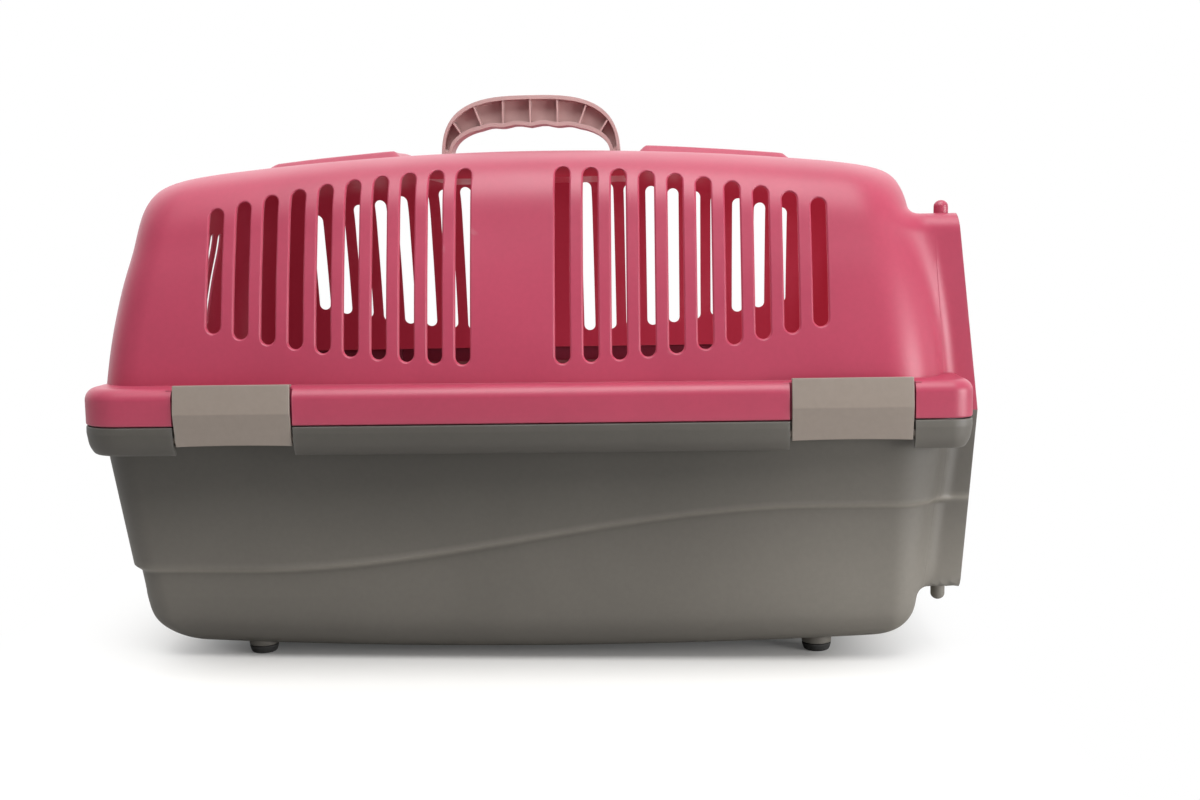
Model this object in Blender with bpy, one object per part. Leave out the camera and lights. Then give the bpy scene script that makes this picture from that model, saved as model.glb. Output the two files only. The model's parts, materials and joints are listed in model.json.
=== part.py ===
"""Pet transport carrier: a roof shell on a tub, four side clips, a folding handle and a latched door.

Metres, +Z up. +X is the door end, the feet stand on z = 0, y = 0 is the plane of symmetry of both
shells, and x = 0 is halfway along the carrier.
"""

import math

import bmesh
import bpy
from mathutils import Matrix, Vector

# Driving dimensions
RIM_REAR = -0.3005
RIM_FRONT = 0.3000
RIM_HALF = 0.1985
SPLIT_Z = 0.1750
FLANGE_TOP_Z = 0.2005
SKIRT_BOTTOM_Z = 0.1550
LIP_TOP_Z = 0.1860
WALL = 0.0025
GAP = 0.0003
BORE_GAP = 0.0004
SIDE_BOW = 0.030
RIM_REAR_CORNER = 0.031
RIM_FRONT_CORNER = 0.016

# Walls of both shells, as seen from above
FLARE = 0.028
REAR_CORNER = 0.035
FRONT_CORNER = 0.040
ROOF_FOOT_HALF = 0.1805
ROOF_FOOT_REAR = -0.2955
ROOF_FOOT_FRONT = 0.2845
TUB_TOP_HALF = 0.1795
TUB_TOP_REAR = -0.2975
TUB_TOP_FRONT = 0.2900

# Roof
SHOULDER = 0.045
END_SHOULDER = 0.020
SHOULDER_TOP_Z = 0.3580
ROOF_PEAK_Z = 0.3602
ROOF_CROWN_X = 0.24
ROOF_CROWN_Y = 0.37
WALL_LEAN = math.radians(11)
SIDE_LEAN = 0.130
SIDE_CURVE = 0.55
END_LEAN = 0.090
REAR_CURVE = 0.98
FRONT_CURVE = 0.80
ROOF_END_X = 0.28
ROOF_LEVEL_HALF = 0.070
ROOF_LEVEL_REAR = -0.2200
ROOF_LEVEL_FRONT = 0.2080
ROOF_PADS = (("roof_pad_rear", -0.204, -0.094), ("roof_pad_front", 0.078, 0.190))
PAD_HEIGHT = 0.0030
PAD_HALF = 0.070
PAD_RAMP = 0.014
PAD_SIDE_RAMP = 0.010

# Tub
TUB_BOTTOM_Z = 0.0052
BOTTOM_TILT = 0.011
BOTTOM_CROWN = 0.10
BOTTOM_CORNER = 0.038
TUB_LEAN = 0.13
REAR_LEAN_SHARE = 0.90
WAVE_LOW_Z = 0.066
WAVE_RISE = 0.046
WAVE_REACH = 0.20
WAVE_STEP = 0.0032

# Vent slots
MIDDLE_X = -0.0048
SLOTS_PER_GROUP = 10
SLOT_PITCH = 0.0191
SLOT_WIDTH = 0.0100
CENTRE_BAND = 0.0675
SLOT_LOW_Z = 0.2122
SLOT_LOW_ARC = 0.55
SLOT_TOP_Z = 0.3455
SLOT_TOP_ARC = 0.60
REAR_SLOTS = 8
REAR_SLOT_LOW_Z = 0.228
REAR_SLOT_TOP_Z = 0.305

# Door collar, seen from the front
COLLAR_HALF = 0.1450
COLLAR_TOP_Z = 0.3090
COLLAR_BOTTOM_Z = 0.0500
COLLAR_CORNER = 0.012
COLLAR_FRONT_TOP = 0.2968
COLLAR_FRONT_SPLIT = 0.3110
COLLAR_FRONT_BOTTOM = 0.3000

# Handle
HANDLE_HALF = 0.0692
HANDLE_LEG = 0.0072
HANDLE_RISE = 0.0522
HANDLE_INNER_RISE = 0.0292
HANDLE_HALF_DEPTH = 0.0095
HANDLE_RIBS = ((0.0, 0.0), (0.0211, 0.0211), (0.0445, 0.0369), (0.0615, 0.0524))
PIVOT_Z = 0.3540
FINGER_PITCH = 0.0211
FINGER_BUMP = 0.0008
WELL_FLOOR_Z = 0.3440
WELL_HALF_WIDTH = 0.0560
WELL_CLEARANCE = 0.0015
HANDLE_PIN_RADIUS = 0.0025

# Clips
CLIP_CENTRES = (-0.1913, 0.2195)
CLIP_HALF = 0.0395
CLIP_GAP = 0.0014
CLIP_TOP_Z = 0.2028
CLIP_CREASE_Z = 0.1835
CLIP_BOTTOM_Z = 0.1612
CLIP_OUTER = 0.1997
CLIP_THICKNESS = 0.0026
CLIP_HINGE_Y = 0.1915
CLIP_HINGE_Z = 0.1655
CLIP_HOOK_REACH = 0.0095
LUG_INNER_Y = 0.1862
LUG_OUTER_Y = 0.1938
TRUNNION_RADIUS = 0.0024
TRUNNION_LENGTH = 0.0040
LUG_THICKNESS = 0.0060
RECESS_OUTER = 0.1925

# Door
DOOR_X = 0.2880
DOOR_HALF_THICKNESS = 0.0040
DOOR_HALF = 0.1385
DOOR_BOTTOM_Z = 0.0565
DOOR_TOP_Z = 0.3025
DOOR_RAIL = 0.0110
DOOR_CORNER = 0.0080
HINGE_STILE = 0.0090
LATCH_STILE = 0.0095
HINGE_Y = -0.1270
HINGE_ROD_RADIUS = 0.0023
SOCKET_RADIUS = 0.0050
SOCKET_TOP_Z = 0.3180
SOCKET_BOTTOM_Z = 0.0350
GRILLE_BARS = 10
GRILLE_BAR_WIDTH = 0.0055
GRILLE_BAR_DEPTH = 0.0050
CROSS_BAR_HEIGHT = 0.0070
CROSS_BAR_DEPTH = 0.0060
BAR_ROOT = 0.002
CROSS_BAR_ZS = (0.118, 0.242)

# Latch
LATCH_Y = 0.1265
LATCH_Z = 0.1795
BOLT_HALF_WIDTH = 0.0040
BOLT_BACK_X = 0.2872
BOLT_FRONT_X = 0.2912
BOLT_INNER_END = 0.0165
SPRING_HALF = 0.0155
SPRING_RADIUS = 0.0019
SPRING_WIRE = 0.0004
SPRING_TURNS = 6
COVER_THICKNESS = 0.0016
COVER_HALF_HEIGHT = 0.0480
COVER_HALF_WIDTH = 0.0165
COVER_Y = 0.1180
SCREW_Y = 0.1075
SCREW_DROP = 0.0400
SCREW_RADIUS = 0.0012
SCREW_HEAD_RADIUS = 0.0029

# Feet
FOOT_XS = (-0.1980, 0.2035)
FOOT_Y = 0.1190
FOOT_RADIUS = 0.0105
FOOT_TOP_Z = 0.0055
SEAT_TOP_Z = 0.0150
STEM_RADIUS = 0.0034

# Rims, as (inset from the rim's outline, height)
ROOF_RIM = (
    (0.0060, FLANGE_TOP_Z),
    (0.0026, 0.1992),
    (0.0005, 0.1960),
    (0.0, 0.1900),
    (0.0, SPLIT_Z + GAP),
    (WALL, SPLIT_Z + GAP),
    (0.0033, 0.1965),
    (0.0075, FLANGE_TOP_Z - WALL),
)
TUB_RIM = (
    (0.0045, SPLIT_Z - WALL),
    (0.0030, 0.1700),
    (0.0046, 0.1610),
    (0.0070, 0.1580),
    (0.0070, SKIRT_BOTTOM_Z),
    (0.0044, 0.1558),
    (0.0020, 0.1600),
    (0.0006, 0.1680),
    (0.0002, SPLIT_Z),
)

CORNER_STEPS = 3
SIDE_STEPS = 7
PI = math.pi


def clear_scene():
    for obj in list(bpy.data.objects):
        bpy.data.objects.remove(obj, do_unlink=True)


def plastic(name, colour, roughness, metallic=0.0):
    """A Principled material from an sRGB colour in 0 to 255."""
    material = bpy.data.materials.new(name)
    material.use_nodes = True
    shader = material.node_tree.nodes["Principled BSDF"]
    linear = [(channel / 255) ** 2.2 for channel in colour]
    shader.inputs["Base Color"].default_value = (*linear, 1.0)
    shader.inputs["Roughness"].default_value = roughness
    shader.inputs["Metallic"].default_value = metallic
    return material


# Mesh helpers


def new_object(name, points, faces, material=None):
    """A closed mesh object with its normals pointing out."""
    mesh = bpy.data.meshes.new(name)
    mesh.from_pydata([tuple(point) for point in points], [], faces)
    shell = bmesh.new()
    shell.from_mesh(mesh)
    bmesh.ops.recalc_face_normals(shell, faces=shell.faces)
    shell.to_mesh(mesh)
    shell.free()
    mesh.shade_smooth()
    mesh.set_sharp_from_angle(angle=math.radians(35))
    if material:
        mesh.materials.append(material)
    obj = bpy.data.objects.new(name, mesh)
    bpy.context.scene.collection.objects.link(obj)
    return obj


def move_origin(obj, place):
    """Moves the origin to a point of the piece's axis, and leaves its shape where it is."""
    obj.data.transform(Matrix.Translation(-Vector(place)))
    obj.location = place


def helper(obj):
    obj.hide_render = True
    obj.display_type = "WIRE"
    return obj


def add(target, tool):
    combine(target, tool, "UNION")


def cut(target, tool):
    combine(target, tool, "DIFFERENCE")


def combine(target, tool, operation):
    modifier = target.modifiers.new(tool.name, "BOOLEAN")
    modifier.operation = operation
    modifier.object = helper(tool)
    modifier.solver = "EXACT"


def tube_faces(ring_count, ring_size):
    """Quads between successive rings."""
    faces = []
    for row in range(ring_count - 1):
        for column in range(ring_size):
            after = (column + 1) % ring_size
            low = row * ring_size
            high = low + ring_size
            faces.append((low + column, low + after, high + after, high + column))
    return faces


def prism(name, outline, vector, material=None):
    """A closed solid: the outline carried along a vector."""
    points = [Vector(point) for point in outline]
    points += [point + Vector(vector) for point in points]
    count = len(outline)
    faces = tube_faces(2, count)
    faces.append(tuple(range(count)))
    faces.append(tuple(range(count, 2 * count)))
    return new_object(name, points, faces, material)


def box(name, low, high, material=None):
    outline = [
        (low[0], low[1], low[2]),
        (high[0], low[1], low[2]),
        (high[0], high[1], low[2]),
        (low[0], high[1], low[2]),
    ]
    return prism(name, outline, (0, 0, high[2] - low[2]), material)


def joined(name, objects):
    """One helper mesh from several solids that don't touch."""
    merged = bmesh.new()
    for obj in objects:
        merged.from_mesh(obj.data)
        bpy.data.objects.remove(obj)
    mesh = bpy.data.meshes.new(name)
    merged.to_mesh(mesh)
    merged.free()
    obj = bpy.data.objects.new(name, mesh)
    bpy.context.scene.collection.objects.link(obj)
    return helper(obj)


def turned(name, profile, centre, steps=16, material=None):
    """A solid turned about a vertical axis. The profile lists (radius, z) from one end to the other."""
    points = []
    for radius, z in profile:
        for step in range(steps):
            angle = 2 * PI * (step + 0.5) / steps
            x = centre[0] + radius * math.cos(angle)
            y = centre[1] + radius * math.sin(angle)
            points.append((x, y, z))
    faces = tube_faces(len(profile), steps)
    faces.append(tuple(range(steps)))
    faces.append(tuple(range(len(points) - steps, len(points))))
    return new_object(name, points, faces, material)


def rod_x(name, centre_y, centre_z, radius, low_x, high_x, steps=16, material=None):
    """A round bar along X."""
    outline = []
    for step in range(steps):
        angle = 2 * PI * (step + 0.5) / steps
        y = centre_y + radius * math.cos(angle)
        z = centre_z + radius * math.sin(angle)
        outline.append((low_x, y, z))
    return prism(name, outline, (high_x - low_x, 0, 0), material)


def stadium(half_width, low, high, steps=3):
    """Outline of an upright slot with round ends, as (across, up) pairs."""
    points = []
    for centre, start in ((high - half_width, 0.0), (low + half_width, PI)):
        for step in range(steps + 1):
            angle = start + PI * step / steps
            points.append((half_width * math.cos(angle), centre + half_width * math.sin(angle)))
    return points


def rounded_rectangle(low_y, high_y, low_z, high_z, radius, steps=3):
    """Outline as (y, z) pairs, counter-clockwise from the lower right corner."""
    corners = (
        (high_y - radius, low_z + radius, -0.5 * PI),
        (high_y - radius, high_z - radius, 0.0),
        (low_y + radius, high_z - radius, 0.5 * PI),
        (low_y + radius, low_z + radius, PI),
    )
    points = []
    for centre_y, centre_z, start in corners:
        for step in range(steps + 1):
            angle = start + 0.5 * PI * step / steps
            points.append((centre_y + radius * math.cos(angle), centre_z + radius * math.sin(angle)))
    return points


# Shell surfaces: each is a stack of rounded outlines, one per level


def half_width_at(x, half, flare):
    return half + flare * x - SIDE_BOW * x * x


def ring(rear, front, half, height, flare=FLARE, rear_corner=REAR_CORNER, front_corner=FRONT_CORNER):
    """One closed outline. height is a function of (x, y), so a level can be crowned."""
    near = []
    centre_x = rear + rear_corner
    centre_y = half_width_at(centre_x, half, flare) - rear_corner
    for step in range(CORNER_STEPS + 1):
        angle = PI + 0.5 * PI * step / CORNER_STEPS
        near.append((centre_x + rear_corner * math.cos(angle), rear_corner * math.sin(angle) - centre_y))
    straight = front - front_corner - centre_x
    for step in range(1, SIDE_STEPS):
        x = centre_x + straight * step / SIDE_STEPS
        near.append((x, -half_width_at(x, half, flare)))
    centre_x = front - front_corner
    centre_y = half_width_at(centre_x, half, flare) - front_corner
    for step in range(CORNER_STEPS + 1):
        angle = 1.5 * PI + 0.5 * PI * step / CORNER_STEPS
        near.append((centre_x + front_corner * math.cos(angle), front_corner * math.sin(angle) - centre_y))
    outline = near + [(x, -y) for x, y in reversed(near)]
    return [(x, y, height(x, y)) for x, y in outline]


def shell_from_rings(name, rings, material):
    """A closed skin through all rings, with both ends filled across the plane of symmetry."""
    size = len(rings[0])
    points = [point for outline in rings for point in outline]
    faces = tube_faces(len(rings), size)
    for first in (0, (len(rings) - 1) * size):
        for column in range(size // 2 - 1):
            corners = (column, column + 1, size - column - 2, size - column - 1)
            faces.append(tuple(first + corner for corner in corners))
    return new_object(name, points, faces, material)


def level(z):
    return lambda x, y: z


def rim_ring(inset, z):
    return ring(
        RIM_REAR + inset,
        RIM_FRONT - inset,
        RIM_HALF - inset,
        level(z),
        flare=0.0,
        rear_corner=RIM_REAR_CORNER - inset,
        front_corner=RIM_FRONT_CORNER - inset,
    )


def roof_height(x, y):
    return ROOF_PEAK_Z - ROOF_CROWN_X * x * x - ROOF_CROWN_Y * y * y


def roof_wall(rise, crown_share):
    """Rear, front and half width of the leaning wall at a height above the flange."""
    end_rise = rise - crown_share * ROOF_CROWN_X * ROOF_END_X**2
    rear = ROOF_FOOT_REAR + END_LEAN * end_rise + REAR_CURVE * end_rise**2
    front = ROOF_FOOT_FRONT - END_LEAN * end_rise - FRONT_CURVE * end_rise**2
    half = ROOF_FOOT_HALF - SIDE_LEAN * rise - SIDE_CURVE * rise**2
    return rear, front, half


def roof_wall_ring(z, inset):
    """A level of the roof shell's wall: it leans in, and takes on the roof's crown towards the top."""
    rise = z - FLANGE_TOP_Z
    crown_share = (rise / (shoulder_start_z() - FLANGE_TOP_Z)) ** 2
    rear, front, half = roof_wall(rise, crown_share)
    return ring(
        rear + inset,
        front - inset,
        half - inset,
        lambda x, y: z - crown_share * ROOF_CROWN_X * x * x,
        rear_corner=REAR_CORNER - inset,
        front_corner=FRONT_CORNER - inset,
    )


def shoulder_start_z():
    return SHOULDER_TOP_Z - SHOULDER * (1 - math.sin(WALL_LEAN))


def shoulder_ring(angle, inset):
    """A level of the rounded edge between the wall and the roof."""
    rear, front, half = roof_wall(shoulder_start_z() - FLANGE_TOP_Z, 1.0)
    turn = math.cos(WALL_LEAN) - math.cos(angle)
    z = SHOULDER_TOP_Z - (SHOULDER - inset) * (1 - math.sin(angle)) - inset
    end_inset = END_SHOULDER * turn + inset * math.cos(angle)
    side_inset = SHOULDER * turn + inset * math.cos(angle)
    return ring(
        rear + end_inset,
        front - end_inset,
        half - side_inset,
        lambda x, y: z - ROOF_CROWN_X * x * x,
    )


def roof_ring(half, inset):
    return ring(
        ROOF_LEVEL_REAR - (half - ROOF_LEVEL_HALF),
        ROOF_LEVEL_FRONT + (half - ROOF_LEVEL_HALF),
        half,
        lambda x, y: roof_height(x, y) - inset,
        rear_corner=0.5 * half,
        front_corner=0.5 * half,
    )


def roof_side(inset):
    """The roof surface from its middle down to the foot of the wall."""
    rings = [roof_ring(0.035, inset), roof_ring(0.080, inset)]
    rings += [shoulder_ring(math.radians(angle), inset) for angle in (86, 61, 36)]
    rings += [roof_wall_ring(z, inset) for z in (shoulder_start_z(), 0.264)]
    return rings


def upper_shell(material):
    """Roof shell: a wall with a flange that turns down into a skirt, open below and at the door."""
    rings = roof_side(0.0)
    rings.append(roof_wall_ring(FLANGE_TOP_Z, 0.0))
    rings += [rim_ring(inset, z) for inset, z in ROOF_RIM]
    rings.append(roof_wall_ring(FLANGE_TOP_Z - WALL, WALL))
    rings += reversed(roof_side(WALL))
    shell = shell_from_rings("upper_shell", rings, material)
    add(shell, collar("roof_collar", SPLIT_Z + GAP, COLLAR_TOP_Z))
    cut(shell, well_mouth())
    add(shell, handle_well())
    add(shell, pin_bosses())
    for pad in ROOF_PADS:
        add(shell, roof_pad(*pad))
    add(shell, recess_panels())
    add(shell, hinge_socket("roof_socket", COLLAR_TOP_Z - 0.001, SOCKET_TOP_Z))
    cut(shell, doorway("roof_doorway"))
    cut(shell, side_slots())
    cut(shell, rear_slots())
    cut(shell, pin_bores())
    cut(shell, roof_notches())
    cut(shell, hinge_rod_hole("roof_rod_hole"))
    cut(shell, latch_hole("roof_latch_hole", COLLAR_TOP_Z))
    return shell


def front_edge_x(z):
    """The collar's front edge: furthest forward at the split, and leaning back above and below it."""
    if z > SPLIT_Z:
        share = (z - SPLIT_Z) / (COLLAR_TOP_Z - SPLIT_Z)
        return COLLAR_FRONT_SPLIT + share * (COLLAR_FRONT_TOP - COLLAR_FRONT_SPLIT)
    share = (SPLIT_Z - z) / (SPLIT_Z - COLLAR_BOTTOM_Z)
    return COLLAR_FRONT_SPLIT + share * (COLLAR_FRONT_BOTTOM - COLLAR_FRONT_SPLIT)


def collar_back_x(z):
    """The collar reaches a little way through the leaning front wall."""
    return front_edge_x(z) - 0.0285 - 0.03 * abs(z - SPLIT_Z)


def collar(name, foot_z, end_z):
    """Half of the raised surround of the doorway, as a solid block that the doorway is cut through."""
    way = math.copysign(1.0, end_z - foot_z)
    side = [(COLLAR_HALF, foot_z)]
    for step in range(CORNER_STEPS + 1):
        angle = 0.5 * PI * step / CORNER_STEPS
        y = COLLAR_HALF - COLLAR_CORNER * (1 - math.cos(angle))
        side.append((y, end_z - way * COLLAR_CORNER * (1 - math.sin(angle))))
    outline = side + [(-y, z) for y, z in reversed(side)]
    count = len(outline)
    points = [(collar_back_x(z), y, z) for y, z in outline]
    points += [(front_edge_x(z), y, z) for y, z in outline]
    faces = tube_faces(2, count)
    faces += [tuple(range(count)), tuple(range(count, 2 * count))]
    return new_object(name, points, faces)


def doorway(name):
    """The opening through the collar of either shell."""
    half = COLLAR_HALF - WALL
    outline = rounded_rectangle(
        -half, half, COLLAR_BOTTOM_Z + WALL, COLLAR_TOP_Z - WALL, COLLAR_CORNER - WALL, CORNER_STEPS
    )
    return prism(name, [(0.22, y, z) for y, z in outline], (0.12, 0, 0))


def hinge_socket(name, foot_z, tip_z):
    """A blind boss with a rounded tip, which an end of the hinge rod turns in."""
    way = math.copysign(1.0, tip_z - foot_z)
    profile = [(SOCKET_RADIUS, foot_z), (SOCKET_RADIUS, tip_z - way * 0.0030)]
    profile += [(0.8 * SOCKET_RADIUS, tip_z - way * 0.0010), (0.45 * SOCKET_RADIUS, tip_z)]
    return turned(name, profile, (DOOR_X, HINGE_Y))


def hinge_rod_hole(name):
    radius = HINGE_ROD_RADIUS + BORE_GAP
    low = SOCKET_BOTTOM_Z + 0.0035
    high = SOCKET_TOP_Z - 0.0035
    return turned(name, [(radius, low), (radius, high)], (DOOR_X, HINGE_Y))


def latch_hole(name, z):
    """Where a latch bolt enters the collar."""
    reach = BOLT_HALF_WIDTH + 2 * GAP
    low = (BOLT_BACK_X - 2 * GAP, LATCH_Y - reach, z - 0.010)
    high = (BOLT_FRONT_X + 2 * GAP, LATCH_Y + reach, z + 0.010)
    return box(name, low, high)


def slot_centres():
    """How far each slot of a side stands from the middle of the carrier."""
    distances = [CENTRE_BAND / 2 + SLOT_PITCH * index for index in range(SLOTS_PER_GROUP)]
    return [-distance for distance in reversed(distances)] + distances


def side_slots():
    """Vent slots of both sides: their ends follow two arcs, so that the outer slots are shorter."""
    cutters = []
    for side in (-1, 1):
        for distance in slot_centres():
            low = SLOT_LOW_Z + SLOT_LOW_ARC * distance**2
            high = SLOT_TOP_Z - SLOT_TOP_ARC * distance**2
            outline = stadium(SLOT_WIDTH / 2, low, high)
            x = MIDDLE_X + distance
            points = [(x + across, side * 0.110, z) for across, z in outline]
            cutters.append(prism("slot", points, (0, side * 0.150, 0)))
    return joined("side_slots", cutters)


def rear_slots():
    cutters = []
    for index in range(REAR_SLOTS):
        y = SLOT_PITCH * (index - 0.5 * (REAR_SLOTS - 1))
        outline = stadium(SLOT_WIDTH / 2, REAR_SLOT_LOW_Z, REAR_SLOT_TOP_Z)
        cutters.append(prism("slot", [(-0.255, y + across, z) for across, z in outline], (-0.08, 0, 0)))
    return joined("rear_slots", cutters)


def roof_pad(name, rear, front):
    """A low raised pad moulded on the roof, with ramped ends."""
    stations = (
        (rear, 0.0),
        (rear + PAD_RAMP, PAD_HEIGHT),
        (front - PAD_RAMP, PAD_HEIGHT),
        (front, 0.0),
    )
    foot = PAD_HALF + PAD_SIDE_RAMP
    rows = ((-foot, 0.0), (-PAD_HALF, 1.0), (0.0, 1.0), (PAD_HALF, 1.0), (foot, 0.0))
    points = []
    for x, rise in stations:
        for y, share in rows:
            points.append((x, y, roof_height(x, y) + rise * share - (1 - share) * 0.0010 - 0.0006))
        points += [(x, y, roof_height(x, y) - 0.0018) for y, share in reversed(rows)]
    size = 2 * len(rows)
    faces = tube_faces(len(stations), size)
    faces += [tuple(range(size)), tuple(range(3 * size, 4 * size))]
    return new_object(name, points, faces)


def well_box(name, end_margin, side_margin, low_z, high_z):
    half = HANDLE_HALF + WELL_CLEARANCE + end_margin
    low = (MIDDLE_X - half, -WELL_HALF_WIDTH - side_margin, low_z)
    high = (MIDDLE_X + half, WELL_HALF_WIDTH + side_margin, high_z)
    return box(name, low, high)


def handle_well():
    """The sunk tray under the handle, closed below. Its rim ends inside the thickness of the roof."""
    tray = well_box("handle_well", WALL, WALL, WELL_FLOOR_Z - WALL, ROOF_PEAK_Z - 0.0031)
    cut(tray, well_box("handle_pocket", 0.0, 0.0, WELL_FLOOR_Z, ROOF_PEAK_Z + 0.010))
    return tray


def well_mouth():
    """The hole in the roof that the tray fills the edge of."""
    return well_box("well_mouth", 0.0010, 0.0010, WELL_FLOOR_Z, ROOF_PEAK_Z + 0.010)


def pin_bosses():
    """Thick lugs outside the ends of the well, which the handle pins are pressed into."""
    high_z = ROOF_PEAK_Z - 0.0020
    bosses = []
    for side in (-1, 1):
        start = MIDDLE_X + side * (HANDLE_HALF + WELL_CLEARANCE + 0.001)
        end = start + side * 0.0100
        low = (min(start, end), -0.0065, PIVOT_Z - 0.0060)
        bosses.append(box("boss", low, (max(start, end), 0.0065, high_z)))
    return joined("pin_bosses", bosses)


def pin_bores():
    bores = []
    for side in (-1, 1):
        start = MIDDLE_X + side * (HANDLE_HALF - 0.004)
        end = MIDDLE_X + side * (HANDLE_HALF + 0.020)
        radius = HANDLE_PIN_RADIUS + BORE_GAP
        bores.append(rod_x("bore", 0.0, PIVOT_Z, radius, min(start, end), max(start, end)))
    return joined("pin_bores", bores)


def clip_sites():
    """Each clip: its name, its middle along X and its side of the carrier."""
    return [
        (f"side_clip_{hand}_{end}", centre, side)
        for hand, side in (("right", -1), ("left", 1))
        for end, centre in zip(("rear", "front"), CLIP_CENTRES)
    ]


def recess_panels():
    """The set-back part of the roof shell's skirt behind each clip."""
    panels = []
    for _, centre, side in clip_sites():
        inner = side * (RECESS_OUTER - WALL)
        outer = side * (RECESS_OUTER + 0.0010)
        half = CLIP_HALF + CLIP_GAP + 0.0040
        low = (centre - half, min(inner, outer), SPLIT_Z + GAP)
        panels.append(box("panel", low, (centre + half, max(inner, outer), FLANGE_TOP_Z - 0.0010)))
    return joined("recess_panels", panels)


def notch_prisms(name, section):
    """Cutters for the clip notches of a rim, from a section given as (y, z) on the left side."""
    notches = []
    half = CLIP_HALF + CLIP_GAP
    for _, centre, side in clip_sites():
        outline = [(centre - half, side * y, z) for y, z in section]
        notches.append(prism("notch", outline, (2 * half, 0, 0)))
    return joined(name, notches)


def roof_notches():
    low = SPLIT_Z - 0.010
    high = FLANGE_TOP_Z + 0.010
    section = [(RECESS_OUTER, low), (0.230, low), (0.230, high), (RECESS_OUTER, high)]
    return notch_prisms("roof_notches", section)


def tub_notches():
    """The tub's skirt is cut right away behind a clip, and its flange only as far as the recess."""
    flange_under = SPLIT_Z - WALL - 0.0004
    section = [
        (0.1858, 0.145),
        (0.230, 0.145),
        (0.230, 0.190),
        (RECESS_OUTER, 0.190),
        (RECESS_OUTER, flange_under),
        (0.1858, flange_under),
    ]
    return notch_prisms("tub_notches", section)


def clip_lugs():
    """Solid ends of the tub's skirt at each notch, which hold the clip's trunnions."""
    lugs = []
    for _, centre, side in clip_sites():
        for end in (-1, 1):
            start = centre + end * (CLIP_HALF + CLIP_GAP)
            stop = start + end * LUG_THICKNESS
            ys = (side * LUG_INNER_Y, side * LUG_OUTER_Y)
            low = (min(start, stop), min(ys), CLIP_HINGE_Z - 0.0050)
            lugs.append(box("lug", low, (max(start, stop), max(ys), SPLIT_Z - 0.0012)))
    return joined("clip_lugs", lugs)


def lug_holes():
    holes = []
    radius = TRUNNION_RADIUS + BORE_GAP
    for _, centre, side in clip_sites():
        for end in (-1, 1):
            start = centre + end * (CLIP_HALF + CLIP_GAP - 0.001)
            stop = start + end * (LUG_THICKNESS + 0.002)
            ends = (min(start, stop), max(start, stop))
            holes.append(rod_x("hole", side * CLIP_HINGE_Y, CLIP_HINGE_Z, radius, *ends, steps=12))
    return joined("lug_holes", holes)


# Tub


def wave_z(x):
    """Height of the moulded line round the tub: low at the rear, rising in an S to the door end."""
    share = min(max((x + WAVE_REACH) / (2 * WAVE_REACH), 0.0), 1.0)
    return WAVE_LOW_Z + WAVE_RISE * share * share * (3 - 2 * share)


def tub_outline(inset):
    rear_corner = max(REAR_CORNER - inset, 0.006)
    front_corner = max(FRONT_CORNER - inset, 0.006)
    return ring(
        TUB_TOP_REAR + REAR_LEAN_SHARE * inset,
        TUB_TOP_FRONT - inset,
        TUB_TOP_HALF - inset,
        level(0.0),
        rear_corner=rear_corner,
        front_corner=front_corner,
    )


def tub_ring(height, extra):
    """A level of the leaning tub wall. height is a function of x, and extra is a further step inwards."""
    points = []
    for index, (x, _, _) in enumerate(tub_outline(0.0)):
        z = height(x)
        inset = TUB_LEAN * (SPLIT_Z - z) + extra
        px, py, _ = tub_outline(inset)[index]
        points.append((px, py, z))
    return points


def floor_rise(x):
    """How much higher the floor is than at its middle: it's crowned along, and climbs to the door end."""
    return BOTTOM_TILT * x + BOTTOM_CROWN * x * x


def bottom_ring(turn, inset):
    """A level of the rounded bottom corner: turn is 0 at the wall and a right angle at the floor."""
    start_z = TUB_BOTTOM_Z + BOTTOM_CORNER
    radius = BOTTOM_CORNER - inset
    wall_inset = TUB_LEAN * (SPLIT_Z - start_z) + WAVE_STEP + inset
    z = start_z - radius * math.sin(turn)
    outline = tub_outline(wall_inset + radius * (1 - math.cos(turn)))
    return [(x, y, z + floor_rise(x) * math.sin(turn)) for x, y, _ in outline]


def floor_ring(half, inset):
    outline = tub_outline(TUB_TOP_HALF - half)
    return [(x, y, TUB_BOTTOM_Z + inset + floor_rise(x)) for x, y, _ in outline]


def tub_side(inset):
    """The tub's skin from the middle of its floor up to the wave line, and past it to the rim."""
    rings = [floor_ring(0.035, inset), floor_ring(0.085, inset)]
    rings += [bottom_ring(math.radians(angle), inset) for angle in (90, 60, 30, 0)]
    rings.append(tub_ring(lambda x: wave_z(x) - 0.0012, WAVE_STEP + inset))
    rings.append(tub_ring(lambda x: wave_z(x) + 0.0012, inset))
    rings.append(tub_ring(lambda x: 0.5 * (wave_z(x) + SKIRT_BOTTOM_Z), inset))
    return rings


def lip_ring(z, inset):
    return [(x, y, z) for x, y, _ in tub_outline(inset)]


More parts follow.
